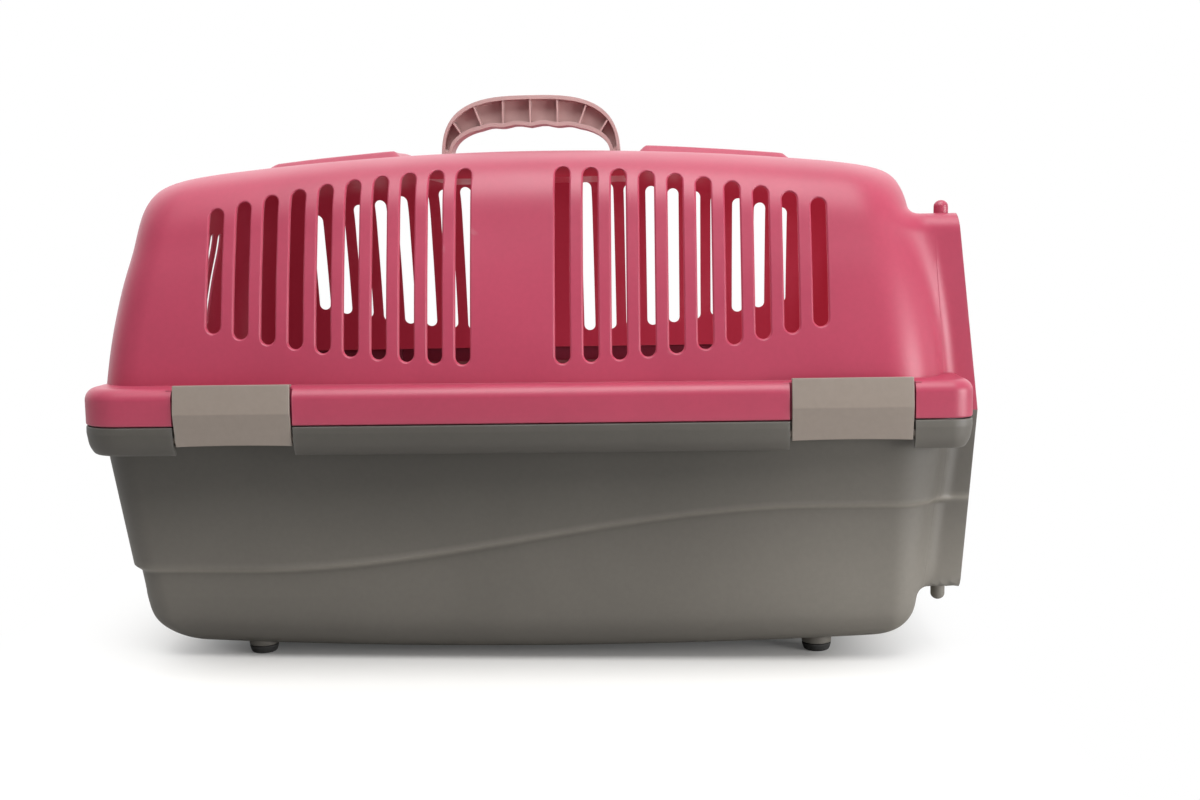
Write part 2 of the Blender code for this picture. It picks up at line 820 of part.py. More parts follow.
def lower_shell(material):
    """Tub: its wall turns out into a flange with a skirt, and a lip stands up inside the roof shell."""
    rings = tub_side(0.0)
    rings.append(tub_ring(lambda x: SPLIT_Z - WALL, 0.0))
    rings += [rim_ring(inset, z) for inset, z in TUB_RIM]
    rings += [lip_ring(SPLIT_Z, 0.0), lip_ring(LIP_TOP_Z, 0.0), lip_ring(LIP_TOP_Z, WALL)]
    rings.append(lip_ring(SPLIT_Z, WALL))
    rings += reversed(tub_side(WALL))
    shell = shell_from_rings("lower_shell", rings, material)
    add(shell, collar("tub_collar", SPLIT_Z, COLLAR_BOTTOM_Z))
    add(shell, clip_lugs())
    add(shell, hinge_socket("tub_socket", COLLAR_BOTTOM_Z + 0.001, SOCKET_BOTTOM_Z))
    add(shell, foot_seats())
    cut(shell, doorway("tub_doorway"))
    cut(shell, box("lip_relief", (0.255, -0.147, SPLIT_Z), (0.330, 0.147, 0.200)))
    cut(shell, tub_notches())
    cut(shell, lug_holes())
    cut(shell, hinge_rod_hole("tub_rod_hole"))
    cut(shell, latch_hole("tub_latch_hole", COLLAR_BOTTOM_Z))
    cut(shell, foot_holes())
    return shell


# Feet


def foot_sites():
    return [
        (f"foot_{hand}_{end}", x, side * FOOT_Y)
        for hand, side in (("right", -1), ("left", 1))
        for end, x in zip(("rear", "front"), FOOT_XS)
    ]


def foot_seats():
    """Flat pads under the crowned floor, for the feet to bear on."""
    seats = []
    for _, x, y in foot_sites():
        profile = [(FOOT_RADIUS, FOOT_TOP_Z + GAP), (FOOT_RADIUS, SEAT_TOP_Z)]
        seats.append(turned("seat", profile, (x, y)))
    return joined("foot_seats", seats)


def foot_holes():
    holes = []
    radius = STEM_RADIUS + BORE_GAP
    for _, x, y in foot_sites():
        holes.append(turned("hole", [(radius, 0.0), (radius, 2 * SEAT_TOP_Z)], (x, y), steps=12))
    return joined("foot_holes", holes)


def foot(name, x, y, material):
    """A rubber foot pushed through the floor, with a barb above it."""
    profile = [
        (FOOT_RADIUS - 0.0030, 0.0),
        (FOOT_RADIUS - 0.0012, 0.0008),
        (FOOT_RADIUS - 0.0006, 0.0025),
        (FOOT_RADIUS, FOOT_TOP_Z),
        (STEM_RADIUS, FOOT_TOP_Z),
        (STEM_RADIUS, SEAT_TOP_Z + 0.0006),
        (STEM_RADIUS + 0.0016, SEAT_TOP_Z + 0.0008),
        (STEM_RADIUS + 0.0012, SEAT_TOP_Z + 0.0022),
        (STEM_RADIUS - 0.0010, SEAT_TOP_Z + 0.0042),
    ]
    piece = turned(name, profile, (x, y), steps=16, material=material)
    move_origin(piece, (x, y, 0.0))
    return piece


# Handle


def signed_power(value, power):
    return math.copysign(abs(value) ** power, value)


def handle_station(share):
    """Inner and outer point of the arched grip, as (x, z). share runs from 0 at one leg to 1 at the other."""
    angle = PI * (share - 0.10 * math.sin(2 * PI * share))
    across = signed_power(math.cos(angle), 2 / 3)
    up = abs(math.sin(angle)) ** (2 / 3)
    outer = Vector((MIDDLE_X + HANDLE_HALF * across, PIVOT_Z + HANDLE_RISE * up))
    inner_x = (HANDLE_HALF - HANDLE_LEG) * across
    fade = max(0.0, 1 - (abs(inner_x) / 0.042) ** 4)
    grip = FINGER_BUMP * fade * math.cos(2 * PI * inner_x / FINGER_PITCH)
    inner = Vector((MIDDLE_X + inner_x, PIVOT_Z + HANDLE_INNER_RISE * up - grip))
    return inner, outer


def grip_section(inner, outer):
    """An I-section: two flanges joined by a thin web."""
    depth = HANDLE_HALF_DEPTH
    flange = 0.0024
    web = 0.0014
    span = (outer - inner).length
    unit = (outer - inner) / span
    section = [
        (0, -depth),
        (0, depth),
        (flange, depth),
        (flange, web),
        (span - flange, web),
        (span - flange, depth),
        (span, depth),
        (span, -depth),
        (span - flange, -depth),
        (span - flange, -web),
        (flange, -web),
        (flange, -depth),
    ]
    return [(inner.x + unit.x * reach, y, inner.y + unit.y * reach) for reach, y in section]


def arch_z(x, half, rise):
    """Height of one of the grip's arched curves, x away from its middle."""
    return PIVOT_Z + rise * (1 - abs(x / half) ** 3) ** (1 / 3)


def handle_ribs():
    """Thin ribs across the recess on both faces of the web, upright in the middle and fanned at the ends."""
    ribs = []
    inner_half = HANDLE_HALF - HANDLE_LEG
    for top_x, foot_x in HANDLE_RIBS:
        for side in (-1, 1) if top_x else (1,):
            inner = Vector((MIDDLE_X + side * foot_x, arch_z(foot_x, inner_half, HANDLE_INNER_RISE)))
            outer = Vector((MIDDLE_X + side * top_x, arch_z(top_x, HANDLE_HALF, HANDLE_RISE)))
            along = (outer - inner).normalized()
            across = Vector((-along.y, along.x)) * 0.0007
            start = inner + along * 0.0010
            end = outer - along * 0.0010
            corners = (start - across, end - across, end + across, start + across)
            depth = HANDLE_HALF_DEPTH - 0.0006
            ribs.append(prism("rib", [(c.x, -depth, c.y) for c in corners], (0, 2 * depth, 0)))
    return joined("handle_ribs", ribs)


def handle_knuckles():
    """The round end of each leg, about the pivot."""
    knuckles = []
    for side in (-1, 1):
        ends = sorted((MIDDLE_X + side * HANDLE_HALF, MIDDLE_X + side * (HANDLE_HALF - HANDLE_LEG)))
        knuckles.append(rod_x("knuckle", 0.0, PIVOT_Z, 0.0080, *ends))
    return joined("handle_knuckles", knuckles)


def carry_handle(material):
    stations = 28
    rings = [grip_section(*handle_station(step / stations)) for step in range(stations + 1)]
    size = len(rings[0])
    points = [point for section in rings for point in section]
    faces = tube_faces(len(rings), size)
    faces += [tuple(range(size)), tuple(range(len(points) - size, len(points)))]
    handle = new_object("carry_handle", points, faces, material)
    add(handle, handle_knuckles())
    add(handle, handle_ribs())
    cut(handle, pin_bores_through_legs())
    return handle


def pin_bores_through_legs():
    bores = []
    radius = HANDLE_PIN_RADIUS + BORE_GAP
    for side in (-1, 1):
        start = MIDDLE_X + side * (HANDLE_HALF - HANDLE_LEG - 0.002)
        end = MIDDLE_X + side * (HANDLE_HALF + 0.002)
        bores.append(rod_x("bore", 0.0, PIVOT_Z, radius, min(start, end), max(start, end)))
    return joined("leg_bores", bores)


def handle_pin(name, side, material):
    start = MIDDLE_X + side * (HANDLE_HALF - HANDLE_LEG + 0.0006)
    end = MIDDLE_X + side * (HANDLE_HALF + WELL_CLEARANCE + 0.0100)
    pin = rod_x(name, 0.0, PIVOT_Z, HANDLE_PIN_RADIUS, min(start, end), max(start, end), material=material)
    move_origin(pin, (start, 0.0, PIVOT_Z))
    return pin


# Clips


def side_clip(name, centre, side, material):
    """A snap clip: a creased plate with a hook over the roof shell's flange and trunnions at its foot."""
    section = [
        (CLIP_OUTER - 0.0008, CLIP_TOP_Z),
        (CLIP_OUTER, CLIP_CREASE_Z),
        (CLIP_OUTER - 0.0026, CLIP_BOTTOM_Z),
        (CLIP_HINGE_Y - 0.0024, CLIP_BOTTOM_Z + 0.0010),
        (CLIP_HINGE_Y - 0.0034, CLIP_HINGE_Z),
        (CLIP_HINGE_Y - 0.0012, CLIP_HINGE_Z + 0.0034),
        (CLIP_OUTER - 0.0010 - CLIP_THICKNESS, CLIP_HINGE_Z + 0.0070),
        (CLIP_OUTER - CLIP_THICKNESS, CLIP_CREASE_Z),
        (CLIP_OUTER - 0.0008 - CLIP_THICKNESS, FLANGE_TOP_Z + GAP),
        (CLIP_OUTER - CLIP_HOOK_REACH, FLANGE_TOP_Z + GAP),
        (CLIP_OUTER - CLIP_HOOK_REACH, CLIP_TOP_Z - 0.0004),
    ]
    outline = [(centre - CLIP_HALF, side * y, z) for y, z in section]
    clip = prism(name, outline, (2 * CLIP_HALF, 0, 0), material)
    trunnion_half = CLIP_HALF + CLIP_GAP + TRUNNION_LENGTH
    ends = (centre - trunnion_half, centre + trunnion_half)
    add(clip, rod_x(f"{name}_trunnions", side * CLIP_HINGE_Y, CLIP_HINGE_Z, TRUNNION_RADIUS, *ends, steps=12))
    move_origin(clip, (centre, side * CLIP_HINGE_Y, CLIP_HINGE_Z))
    return clip


# Door


def door_plate(name, low_y, high_y, low_z, high_z, radius, back, front, material=None):
    """An upright plate with rounded corners, from x = back to x = front."""
    outline = rounded_rectangle(low_y, high_y, low_z, high_z, radius)
    return prism(name, [(back, y, z) for y, z in outline], (front - back, 0, 0), material)


def door_grille(material):
    """Moulded door: a frame with upright bars, two cross bars, a latch pad and a groove for the bolts."""
    back = DOOR_X - DOOR_HALF_THICKNESS
    front = DOOR_X + DOOR_HALF_THICKNESS
    door = door_plate(
        "door_grille", -DOOR_HALF, DOOR_HALF, DOOR_BOTTOM_Z, DOOR_TOP_Z, DOOR_CORNER, back, front, material
    )
    low_y = HINGE_Y + HINGE_STILE
    high_y = LATCH_Y - LATCH_STILE
    low_z = DOOR_BOTTOM_Z + DOOR_RAIL
    high_z = DOOR_TOP_Z - DOOR_RAIL
    window = door_plate("door_window", low_y, high_y, low_z, high_z, 0.004, back - 0.01, front + 0.01)
    cut(door, window)
    bars = []
    pitch = (high_y - low_y) / (GRILLE_BARS + 1)
    for index in range(1, GRILLE_BARS + 1):
        y = low_y + pitch * index
        low = (DOOR_X - GRILLE_BAR_DEPTH / 2, y - GRILLE_BAR_WIDTH / 2, low_z - BAR_ROOT)
        high = (DOOR_X + GRILLE_BAR_DEPTH / 2, y + GRILLE_BAR_WIDTH / 2, high_z + BAR_ROOT)
        bars.append(box("bar", low, high))
    add(door, joined("upright_bars", bars))
    crosses = []
    for z in CROSS_BAR_ZS:
        low = (DOOR_X - CROSS_BAR_DEPTH / 2, low_y - BAR_ROOT, z - CROSS_BAR_HEIGHT / 2)
        high = (DOOR_X + CROSS_BAR_DEPTH / 2, high_y + BAR_ROOT, z + CROSS_BAR_HEIGHT / 2)
        crosses.append(box("cross", low, high))
    add(door, joined("cross_bars", crosses))
    pad_half = COVER_HALF_HEIGHT + 0.003
    pad_low = (back + 0.0002, COVER_Y - COVER_HALF_WIDTH - 0.003, LATCH_Z - pad_half)
    add(door, box("latch_pad", pad_low, (front - 0.0002, LATCH_Y, LATCH_Z + pad_half)))
    groove = BOLT_HALF_WIDTH + GAP
    groove_low = (BOLT_BACK_X - GAP, LATCH_Y - groove, 0.0)
    cut(door, box("bolt_groove", groove_low, (0.320, LATCH_Y + groove, 0.4)))
    bridges = []
    for z in (DOOR_BOTTOM_Z + 0.012, DOOR_TOP_Z - 0.012):
        low = (BOLT_FRONT_X + GAP, LATCH_Y - groove - 0.003, z - 0.005)
        bridges.append(box("bridge", low, (front + 0.0014, LATCH_Y + groove + 0.003, z + 0.005)))
    add(door, joined("bolt_bridges", bridges))
    bore = HINGE_ROD_RADIUS + BORE_GAP
    cut(door, turned("door_bore", [(bore, 0.0), (bore, 0.4)], (DOOR_X, HINGE_Y)))
    cut(door, joined("door_screw_holes", [screw_hole(way, 0.0016) for way in (-1, 1)]))
    move_origin(door, (DOOR_X, HINGE_Y, SPLIT_Z))
    return door


def door_hinge_rod(material):
    low = SOCKET_BOTTOM_Z + 0.0040
    high = SOCKET_TOP_Z - 0.0040
    radius = HINGE_ROD_RADIUS
    profile = [(0.7 * radius, low), (radius, low + 0.0007), (radius, high - 0.0007), (0.7 * radius, high)]
    rod = turned("door_hinge_rod", profile, (DOOR_X, HINGE_Y), material=material)
    move_origin(rod, (DOOR_X, HINGE_Y, low))
    return rod


def latch_bolt(name, way, material):
    """A sliding bolt with a thumb tab. way is 1 for the upper bolt and -1 for the lower one."""
    inner_end = LATCH_Z + way * BOLT_INNER_END
    outer_end = DOOR_TOP_Z if way > 0 else DOOR_BOTTOM_Z
    section = [
        (BOLT_BACK_X, LATCH_Y - BOLT_HALF_WIDTH),
        (BOLT_FRONT_X, LATCH_Y - BOLT_HALF_WIDTH),
        (BOLT_FRONT_X, LATCH_Y + BOLT_HALF_WIDTH),
        (BOLT_BACK_X, LATCH_Y + BOLT_HALF_WIDTH),
    ]
    bolt = prism(name, [(x, y, inner_end) for x, y in section], (0, 0, outer_end - inner_end), material)
    tab_zs = sorted((inner_end + way * 0.003, inner_end + way * 0.012))
    low = (BOLT_FRONT_X - 0.0010, LATCH_Y - 0.0037, tab_zs[0])
    add(bolt, box(f"{name}_tab", low, (BOLT_FRONT_X + 0.0075, LATCH_Y + 0.0037, tab_zs[1])))
    move_origin(bolt, (BOLT_BACK_X, LATCH_Y, inner_end))
    return bolt


def latch_spring(material):
    """A compression coil between the two bolts."""
    steps_per_turn = 9
    sides = 4
    centre_x = 0.5 * (BOLT_BACK_X + BOLT_FRONT_X) + 0.0004
    count = SPRING_TURNS * steps_per_turn
    points = []
    for step in range(count + 1):
        angle = 2 * PI * step / steps_per_turn
        z = LATCH_Z - SPRING_HALF + 2 * SPRING_HALF * step / count
        for side in range(sides):
            tilt = 2 * PI * side / sides
            radius = SPRING_RADIUS + SPRING_WIRE * math.cos(tilt)
            x = centre_x + radius * math.cos(angle)
            y = LATCH_Y + radius * math.sin(angle)
            points.append((x, y, z + SPRING_WIRE * math.sin(tilt)))
    faces = tube_faces(count + 1, sides)
    faces += [tuple(range(sides)), tuple(range(len(points) - sides, len(points)))]
    spring = new_object("latch_spring", points, faces, material)
    move_origin(spring, (centre_x, LATCH_Y, LATCH_Z))
    return spring


def cover_back_x():
    return DOOR_X + DOOR_HALF_THICKNESS + GAP


def latch_cover(material):
    """Plate over the spring and the bolts, with a window for each thumb tab."""
    back = cover_back_x()
    cover = door_plate(
        "latch_cover",
        COVER_Y - COVER_HALF_WIDTH,
        COVER_Y + COVER_HALF_WIDTH,
        LATCH_Z - COVER_HALF_HEIGHT,
        LATCH_Z + COVER_HALF_HEIGHT,
        0.004,
        back,
        back + COVER_THICKNESS,
        material,
    )
    windows = []
    for way in (-1, 1):
        zs = sorted((LATCH_Z + way * (BOLT_INNER_END + 0.002), LATCH_Z + way * (BOLT_INNER_END + 0.020)))
        low = (back - 0.005, LATCH_Y - 0.0045, zs[0])
        windows.append(box("window", low, (back + 0.010, LATCH_Y + 0.0045, zs[1])))
    cut(cover, joined("cover_windows", windows))
    cut(cover, joined("cover_screw_holes", [screw_hole(way, 0.0018) for way in (-1, 1)]))
    move_origin(cover, (back, COVER_Y, LATCH_Z))
    return cover


def screw_hole(way, radius):
    start = DOOR_X - 0.0030
    z = LATCH_Z + way * SCREW_DROP
    return rod_x("screw_hole", SCREW_Y, z, radius, start, start + 0.020, steps=12)


def cover_screw(name, way, material):
    """A small pan-head screw."""
    z = LATCH_Z + way * SCREW_DROP
    head_back = cover_back_x() + COVER_THICKNESS + GAP
    ends = (DOOR_X - 0.0022, head_back + 0.0005)
    screw = rod_x(name, SCREW_Y, z, SCREW_RADIUS, *ends, steps=12, material=material)
    head_ends = (head_back, head_back + 0.0016)
    add(screw, rod_x(f"{name}_head", SCREW_Y, z, SCREW_HEAD_RADIUS, *head_ends, steps=12))
    move_origin(screw, (head_back, SCREW_Y, z))
    return screw


def centre_lengthwise():
    """Slides everything along, so that x = 0 comes halfway between the rim's rear and the collar's front."""
    middle = (RIM_REAR + COLLAR_FRONT_SPLIT) / 2
    for obj in bpy.data.objects:
        obj.location.x -= middle


def build():
    clear_scene()
    roof_plastic = plastic("roof_plastic", (190, 75, 100), 0.42)
    tub_plastic = plastic("tub_plastic", (105, 101, 95), 0.55)
    clip_plastic = plastic("clip_plastic", (152, 142, 132), 0.50)
    handle_plastic = plastic("handle_plastic", (176, 145, 143), 0.45)
    foot_rubber = plastic("foot_rubber", (52, 51, 50), 0.80)
    pin_steel = plastic("pin_steel", (190, 190, 192), 0.30, metallic=1.0)
    upper_shell(roof_plastic)
    lower_shell(tub_plastic)
    carry_handle(handle_plastic)
    handle_pin("handle_pin_rear", -1, pin_steel)
    handle_pin("handle_pin_front", 1, pin_steel)
    for name, centre, side in clip_sites():
        side_clip(name, centre, side, clip_plastic)
    for name, x, y in foot_sites():
        foot(name, x, y, foot_rubber)
    door_grille(clip_plastic)
    door_hinge_rod(pin_steel)
    latch_bolt("latch_bolt_upper", 1, handle_plastic)
    latch_bolt("latch_bolt_lower", -1, handle_plastic)
    latch_spring(pin_steel)
    latch_cover(clip_plastic)
    cover_screw("cover_screw_upper", 1, pin_steel)
    cover_screw("cover_screw_lower", -1, pin_steel)
    centre_lengthwise()


build()
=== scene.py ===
import json
import math

import bmesh
import bpy
import numpy as np
from mathutils import Matrix, Vector
from mathutils.bvhtree import BVHTree


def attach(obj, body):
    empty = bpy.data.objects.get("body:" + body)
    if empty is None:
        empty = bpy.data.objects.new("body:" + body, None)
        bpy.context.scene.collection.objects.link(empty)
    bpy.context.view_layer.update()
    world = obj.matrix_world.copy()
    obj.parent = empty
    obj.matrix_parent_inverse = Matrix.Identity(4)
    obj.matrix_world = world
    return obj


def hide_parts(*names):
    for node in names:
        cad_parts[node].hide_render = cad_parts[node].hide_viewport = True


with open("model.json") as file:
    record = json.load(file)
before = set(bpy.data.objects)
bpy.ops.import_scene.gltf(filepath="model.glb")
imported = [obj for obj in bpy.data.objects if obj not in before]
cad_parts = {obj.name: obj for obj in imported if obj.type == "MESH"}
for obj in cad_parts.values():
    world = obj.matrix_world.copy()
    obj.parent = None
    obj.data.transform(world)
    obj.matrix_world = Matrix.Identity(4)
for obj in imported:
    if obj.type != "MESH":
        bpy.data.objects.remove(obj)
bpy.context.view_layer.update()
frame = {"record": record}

PI = math.pi

# The carrier's main dimensions, in metres. +X is the door end, z = 0 is under the feet.
RIM_REAR = -0.3005
RIM_FRONT = 0.3000
RIM_HALF = 0.1985
SPLIT_Z = 0.1750
FLANGE_TOP_Z = 0.2005
WALL = 0.0025
RIM_ROUND = 0.0085
SEAM = 0.0004
SIDE_BOW = 0.030
FLARE = 0.028
REAR_CORNER = 0.035
FRONT_CORNER = 0.040

ROOF_HALF = 0.1805
ROOF_REAR = -0.2955
ROOF_FRONT = 0.2845
SHOULDER = 0.045
END_SHOULDER = 0.0155
SHOULDER_TOP_Z = 0.3554
ROOF_PEAK_Z = 0.3592
ROOF_CROWN_X = 0.24
ROOF_CROWN_Y = 0.36
CROWN_REACH = 0.28
WALL_LEAN = math.radians(11)
END_LEAN = 0.090
REAR_CURVE = 0.98
FRONT_CURVE = 0.80
SIDE_LEAN = 0.130
SIDE_CURVE = 0.55

TUB_HALF = 0.1795
TUB_REAR = -0.2993
TUB_FRONT = 0.2900
TUB_BOTTOM_Z = 0.0052
BOTTOM_TILT = 0.011
BOTTOM_CROWN = 0.10
BOTTOM_CORNER = 0.038
TUB_LEAN = 0.13
REAR_LEAN_SHARE = 1.04
REAR_STEP = 0.0006
TUB_REAR_CORNER = 0.0285
WAVE_LOW_Z = 0.066
WAVE_RISE = 0.046
WAVE_REACH = 0.20
WAVE_STEP = 0.0032

COLLAR_FRONT_TOP = 0.2968
COLLAR_FRONT_SPLIT = 0.3110
COLLAR_FRONT_BOTTOM = 0.3000
BOX_MIDDLE = (RIM_REAR + COLLAR_FRONT_SPLIT) / 2

MIDDLE_X = -0.0048
SLOTS_PER_GROUP = 10
SLOT_PITCH = 0.0191
SLOT_WIDTH = 0.0100
CENTRE_BAND = 0.0675
SLOT_EDGE = 0.0016
REAR_SLOTS = 8

COLLAR_HALF = 0.1450
COLLAR_TOP_Z = 0.3090
COLLAR_BOTTOM_Z = 0.0500
COLLAR_FILLET = 0.013
END_FILLET = 0.0055

DOOR_X = 0.2880
DOOR_HALF = 0.1385
DOOR_BOTTOM_Z = 0.0565
DOOR_TOP_Z = 0.3025
DOOR_BARS = 10
BAR_EDGE = 0.0013
HINGE_Y = -0.1270
ROD_BORE = 0.0027
LATCH_Y = 0.1265
LATCH_Z = 0.1795
BOLT_BACK_X = 0.2872
BOLT_FRONT_X = 0.2912
BOLT_INNER_END = 0.0165
SPRING_X = 0.2896
SPRING_HALF = 0.0155
SPRING_RADIUS = 0.0019
SPRING_WIRE = 0.0004
SPRING_TURNS = 6
COVER_THICKNESS = 0.0016
SCREW_Y = 0.1075
SCREW_RISE = 0.04

PIVOT_Z = 0.3540
PIN_BORE = 0.0029
WELL_FLOOR_Z = 0.3440
WELL_HALF = 0.056
HANDLE_HALF = 0.0692
HANDLE_LEG = 0.0072
HANDLE_RISE = 0.0522
HANDLE_INNER_RISE = 0.0292
FINGER_PITCH = 0.0211

CLIP_CENTRES = (-0.1913, 0.2195)
CLIP_HALF = 0.0395
CLIP_GAP = 0.0014
CLIP_HINGE_Y = 0.1915
CLIP_HINGE_Z = 0.1655
RECESS_OUTER = 0.1925
FOOT_XS = (-0.1980, 0.2035)
FOOT_Y = 0.119

BODY_OF = {node: body for body, nodes in frame["record"]["behaviour"]["bodies"].items() for node in nodes}


# Materials


class Tree:
    """A node tree, with short calls for what repeats. A value is a number, a colour or another node's output."""

    def __init__(self, owner):
        owner.use_nodes = True
        self.nodes, self.links = owner.node_tree.nodes, owner.node_tree.links

    def put(self, socket, value):
        if isinstance(value, bpy.types.NodeSocket):
            self.links.new(value, socket)
        else:
            socket.default_value = value

    def node(self, kind, sockets=None, **settings):
        node = self.nodes.new("ShaderNode" + kind)
        for name, value in settings.items():
            setattr(node, name, value)
        for key, value in (sockets or {}).items():
            self.put(node.inputs[key], value)
        return node

    def axes(self, place):
        return self.node("SeparateXYZ", {0: place}).outputs

    def attribute(self, name):
        return self.node("Attribute", attribute_name=name).outputs["Fac"]

    def noise(self, place, scale, detail, more=None):
        sockets = {"Vector": place, "Scale": scale, "Detail": detail, **(more or {})}
        return self.node("TexNoise", sockets).outputs["Fac"]

    def ramp(self, value, low, high):
        """A ramp between two stops, each a place and a colour."""
        node = self.node("ValToRGB", {"Fac": value})
        for element, (place, colour) in zip(node.color_ramp.elements, (low, high)):
            element.position = place
            element.color = (*colour, 1.0)
        return node.outputs["Color"]

    def span(self, value, start, end, low=0.0, high=1.0, smooth=False):
        """value, carried from start and end to low and high."""
        sockets = {"Value": value, "From Min": start, "From Max": end, "To Min": low, "To Max": high}
        kind = "SMOOTHSTEP" if smooth else "LINEAR"
        return self.node("MapRange", sockets, interpolation_type=kind).outputs["Result"]

    def maths(self, operation, *values):
        return self.node("Math", dict(enumerate(values)), operation=operation).outputs[0]

    def mix(self, factor, a, b, blend="MIX"):
        sockets = {"Factor": factor, "A": a, "B": b}
        return self.node("Mix", sockets, data_type="RGBA", blend_type=blend).outputs["Result"]


def linear(colour):
    return tuple((channel / 255) ** 2.2 for channel in colour)


def paint_tub_light(tree, place, colour, amount):
    """Painted light on the tub: paler low down, below the shade under the rim, paler towards the door, where more light
    falls, and a painted highlight on the lip along its moulded line.
    """
    axes = tree.axes(place)
    # painted light: paler low down, in place of the shade that the rim casts on the upper wall
    low = tree.span(axes["Z"], 0.150, 0.050, 1.0, 1.0 + amount, smooth=True)
    # painted light: paler towards the door end, where the light from the right falls
    end = tree.span(axes["X"], 0.06, 0.27, 1.0, 1.45, smooth=True)
    colour = tree.mix(1.0, colour, tree.maths("MULTIPLY", low, end), "MULTIPLY")
    # painted highlight along the moulded lip, where it catches light from the floor
    lip_highlight = tree.maths("MULTIPLY_ADD", tree.attribute("lip"), 0.75, 1.0)
    return tree.mix(1.0, colour, lip_highlight, "MULTIPLY")


def moulded(name, colour, rough=0.42, grain=0.00004, grain_scale=1500.0, wear=0.30, sheen=0.5,
            mottle=0.07, painted_glow=None, metallic=0.0, edge=0.0006, painted_light=0.0):
    """Injection-moulded plastic: flow mottling, fine spark grain and handled edges. painted_light and painted_glow
    paint light and shade into the colour.
    """
    material = bpy.data.materials.new(name)
    tree = Tree(material)
    shader = tree.nodes["Principled BSDF"]
    base = linear(colour)
    place = tree.node("TexCoord").outputs["Object"]

    dark = tuple(channel * (1 - mottle) for channel in base)
    light = tuple(min(1.0, channel * (1 + mottle)) for channel in base)
    flow = tree.noise(place, 7.0, 6.0, {"Roughness": 0.55, "Distortion": 0.6})
    tint = tree.ramp(flow, (0.30, dark), (0.70, light))
    speckle = tree.ramp(tree.noise(place, 260.0, 3.0), (0.35, (0.96, 0.96, 0.96)), (0.65, (1.03, 1.03, 1.03)))
    mixed = tree.mix(0.6, tint, speckle, "MULTIPLY")
    # painted light and shade on the tub's colour
    if painted_light:
        mixed = paint_tub_light(tree, place, mixed, painted_light)

    pointed = tree.node("NewGeometry").outputs["Pointiness"]
    worn = tree.ramp(pointed, (0.510, (0, 0, 0)), (0.590, (1, 1, 1)))
    patchy = tree.maths("MULTIPLY", worn, tree.noise(place, 60.0, 4.0))
    pale = (*(min(1.0, 0.55 * channel + 0.30) for channel in base), 1.0)
    tree.put(shader.inputs["Base Color"], tree.mix(tree.maths("MULTIPLY", patchy, wear), mixed, pale))

    gloss = tree.span(tree.noise(place, 22.0, 5.0), 0.0, 1.0, rough - 0.05, rough + 0.07)
    tree.put(shader.inputs["Roughness"], gloss)
    shader.inputs["Specular IOR Level"].default_value = sheen
    shader.inputs["Metallic"].default_value = metallic

    pits = tree.node("Bump", {"Strength": 0.6, "Distance": grain, "Height": tree.noise(place, grain_scale, 2.0)})
    if edge:
        bevel = tree.node("Bevel", {"Radius": edge}, samples=3)
        tree.put(pits.inputs["Normal"], bevel.outputs["Normal"])
    sink = tree.node("Bump", {"Strength": 0.5, "Distance": 0.0006, "Height": tree.noise(place, 14.0, 1.0),
                              "Normal": pits.outputs["Normal"]})
    tree.put(shader.inputs["Normal"], sink.outputs["Normal"])

    # painted light: an emission stands in for the daylight that comes through the thin pink wall, brighter towards the
    # door end
    if painted_glow:
        along = tree.span(tree.axes(place)["X"], -0.25, 0.25, 0.55, 1.60)
        tree.put(shader.inputs["Emission Strength"], tree.maths("MULTIPLY", tree.attribute("lit_through"), along))
        shader.inputs["Emission Color"].default_value = (*painted_glow, 1.0)
    return material


# painted_glow paints the light that comes through the pink wall onto the faces inside the shells.
PINK = moulded("roof_plastic_look", (164, 60, 83), rough=0.41, wear=0.25, sheen=0.55, painted_glow=(0.15, 0.006, 0.013))
# The tub's colour is painted paler low down and towards the door, with a painted highlight on its lip.
GREY = moulded("tub_plastic_look", (77, 74, 69), rough=0.50, grain=0.00007, grain_scale=1100.0, wear=0.30,
               painted_glow=(0.075, 0.006, 0.010), painted_light=0.85)
CLIP = moulded("clip_plastic_look", (134, 123, 114), rough=0.42, wear=0.35, mottle=0.04)
GRIP = moulded("handle_plastic_look", (188, 154, 151), rough=0.42, wear=0.40)
RUBBER = moulded("foot_rubber_look", (52, 51, 50), rough=0.75, grain=0.00012, grain_scale=800.0, wear=0.15)
STEEL = moulded("pin_steel_look", (200, 200, 202), rough=0.28, metallic=1.0, wear=0.10, mottle=0.03, edge=0.0)


# Mesh helpers


def make(name, points, faces):
    mesh = bpy.data.meshes.new(name)
    mesh.from_pydata([tuple(map(float, point)) for point in points], [], [tuple(map(int, face)) for face in faces])
    obj = bpy.data.objects.new(name, mesh)
    bpy.context.scene.collection.objects.link(obj)
    outward(obj)
    return obj


def outward(obj):
    shape = bmesh.new()
    shape.from_mesh(obj.data)
    bmesh.ops.recalc_face_normals(shape, faces=shape.faces)
    shape.to_mesh(obj.data)
    shape.free()


def bake(obj):
    """The object's modifiers made into its mesh."""
    graph = bpy.context.evaluated_depsgraph_get()
    mesh = bpy.data.meshes.new_from_object(obj.evaluated_get(graph))
    obj.modifiers.clear()
    old = obj.data
    obj.data = mesh
    bpy.data.meshes.remove(old)
    return obj


def rounded(obj, width, segments=3, angle=40):
    modifier = obj.modifiers.new("edge", "BEVEL")
    modifier.width = width
    modifier.segments = segments
    modifier.limit_method = "ANGLE"
    modifier.angle_limit = math.radians(angle)
    modifier.harden_normals = False
    return bake(obj)


def combine(target, tools, operation):
    for tool in tools:
        modifier = target.modifiers.new(tool.name, "BOOLEAN")
        modifier.operation = operation
        modifier.solver = "MANIFOLD"
        modifier.object = tool
    bake(target)
    for tool in tools:
        bpy.data.objects.remove(tool, do_unlink=True)
    return target


def add(target, *tools):
    return combine(target, tools, "UNION")


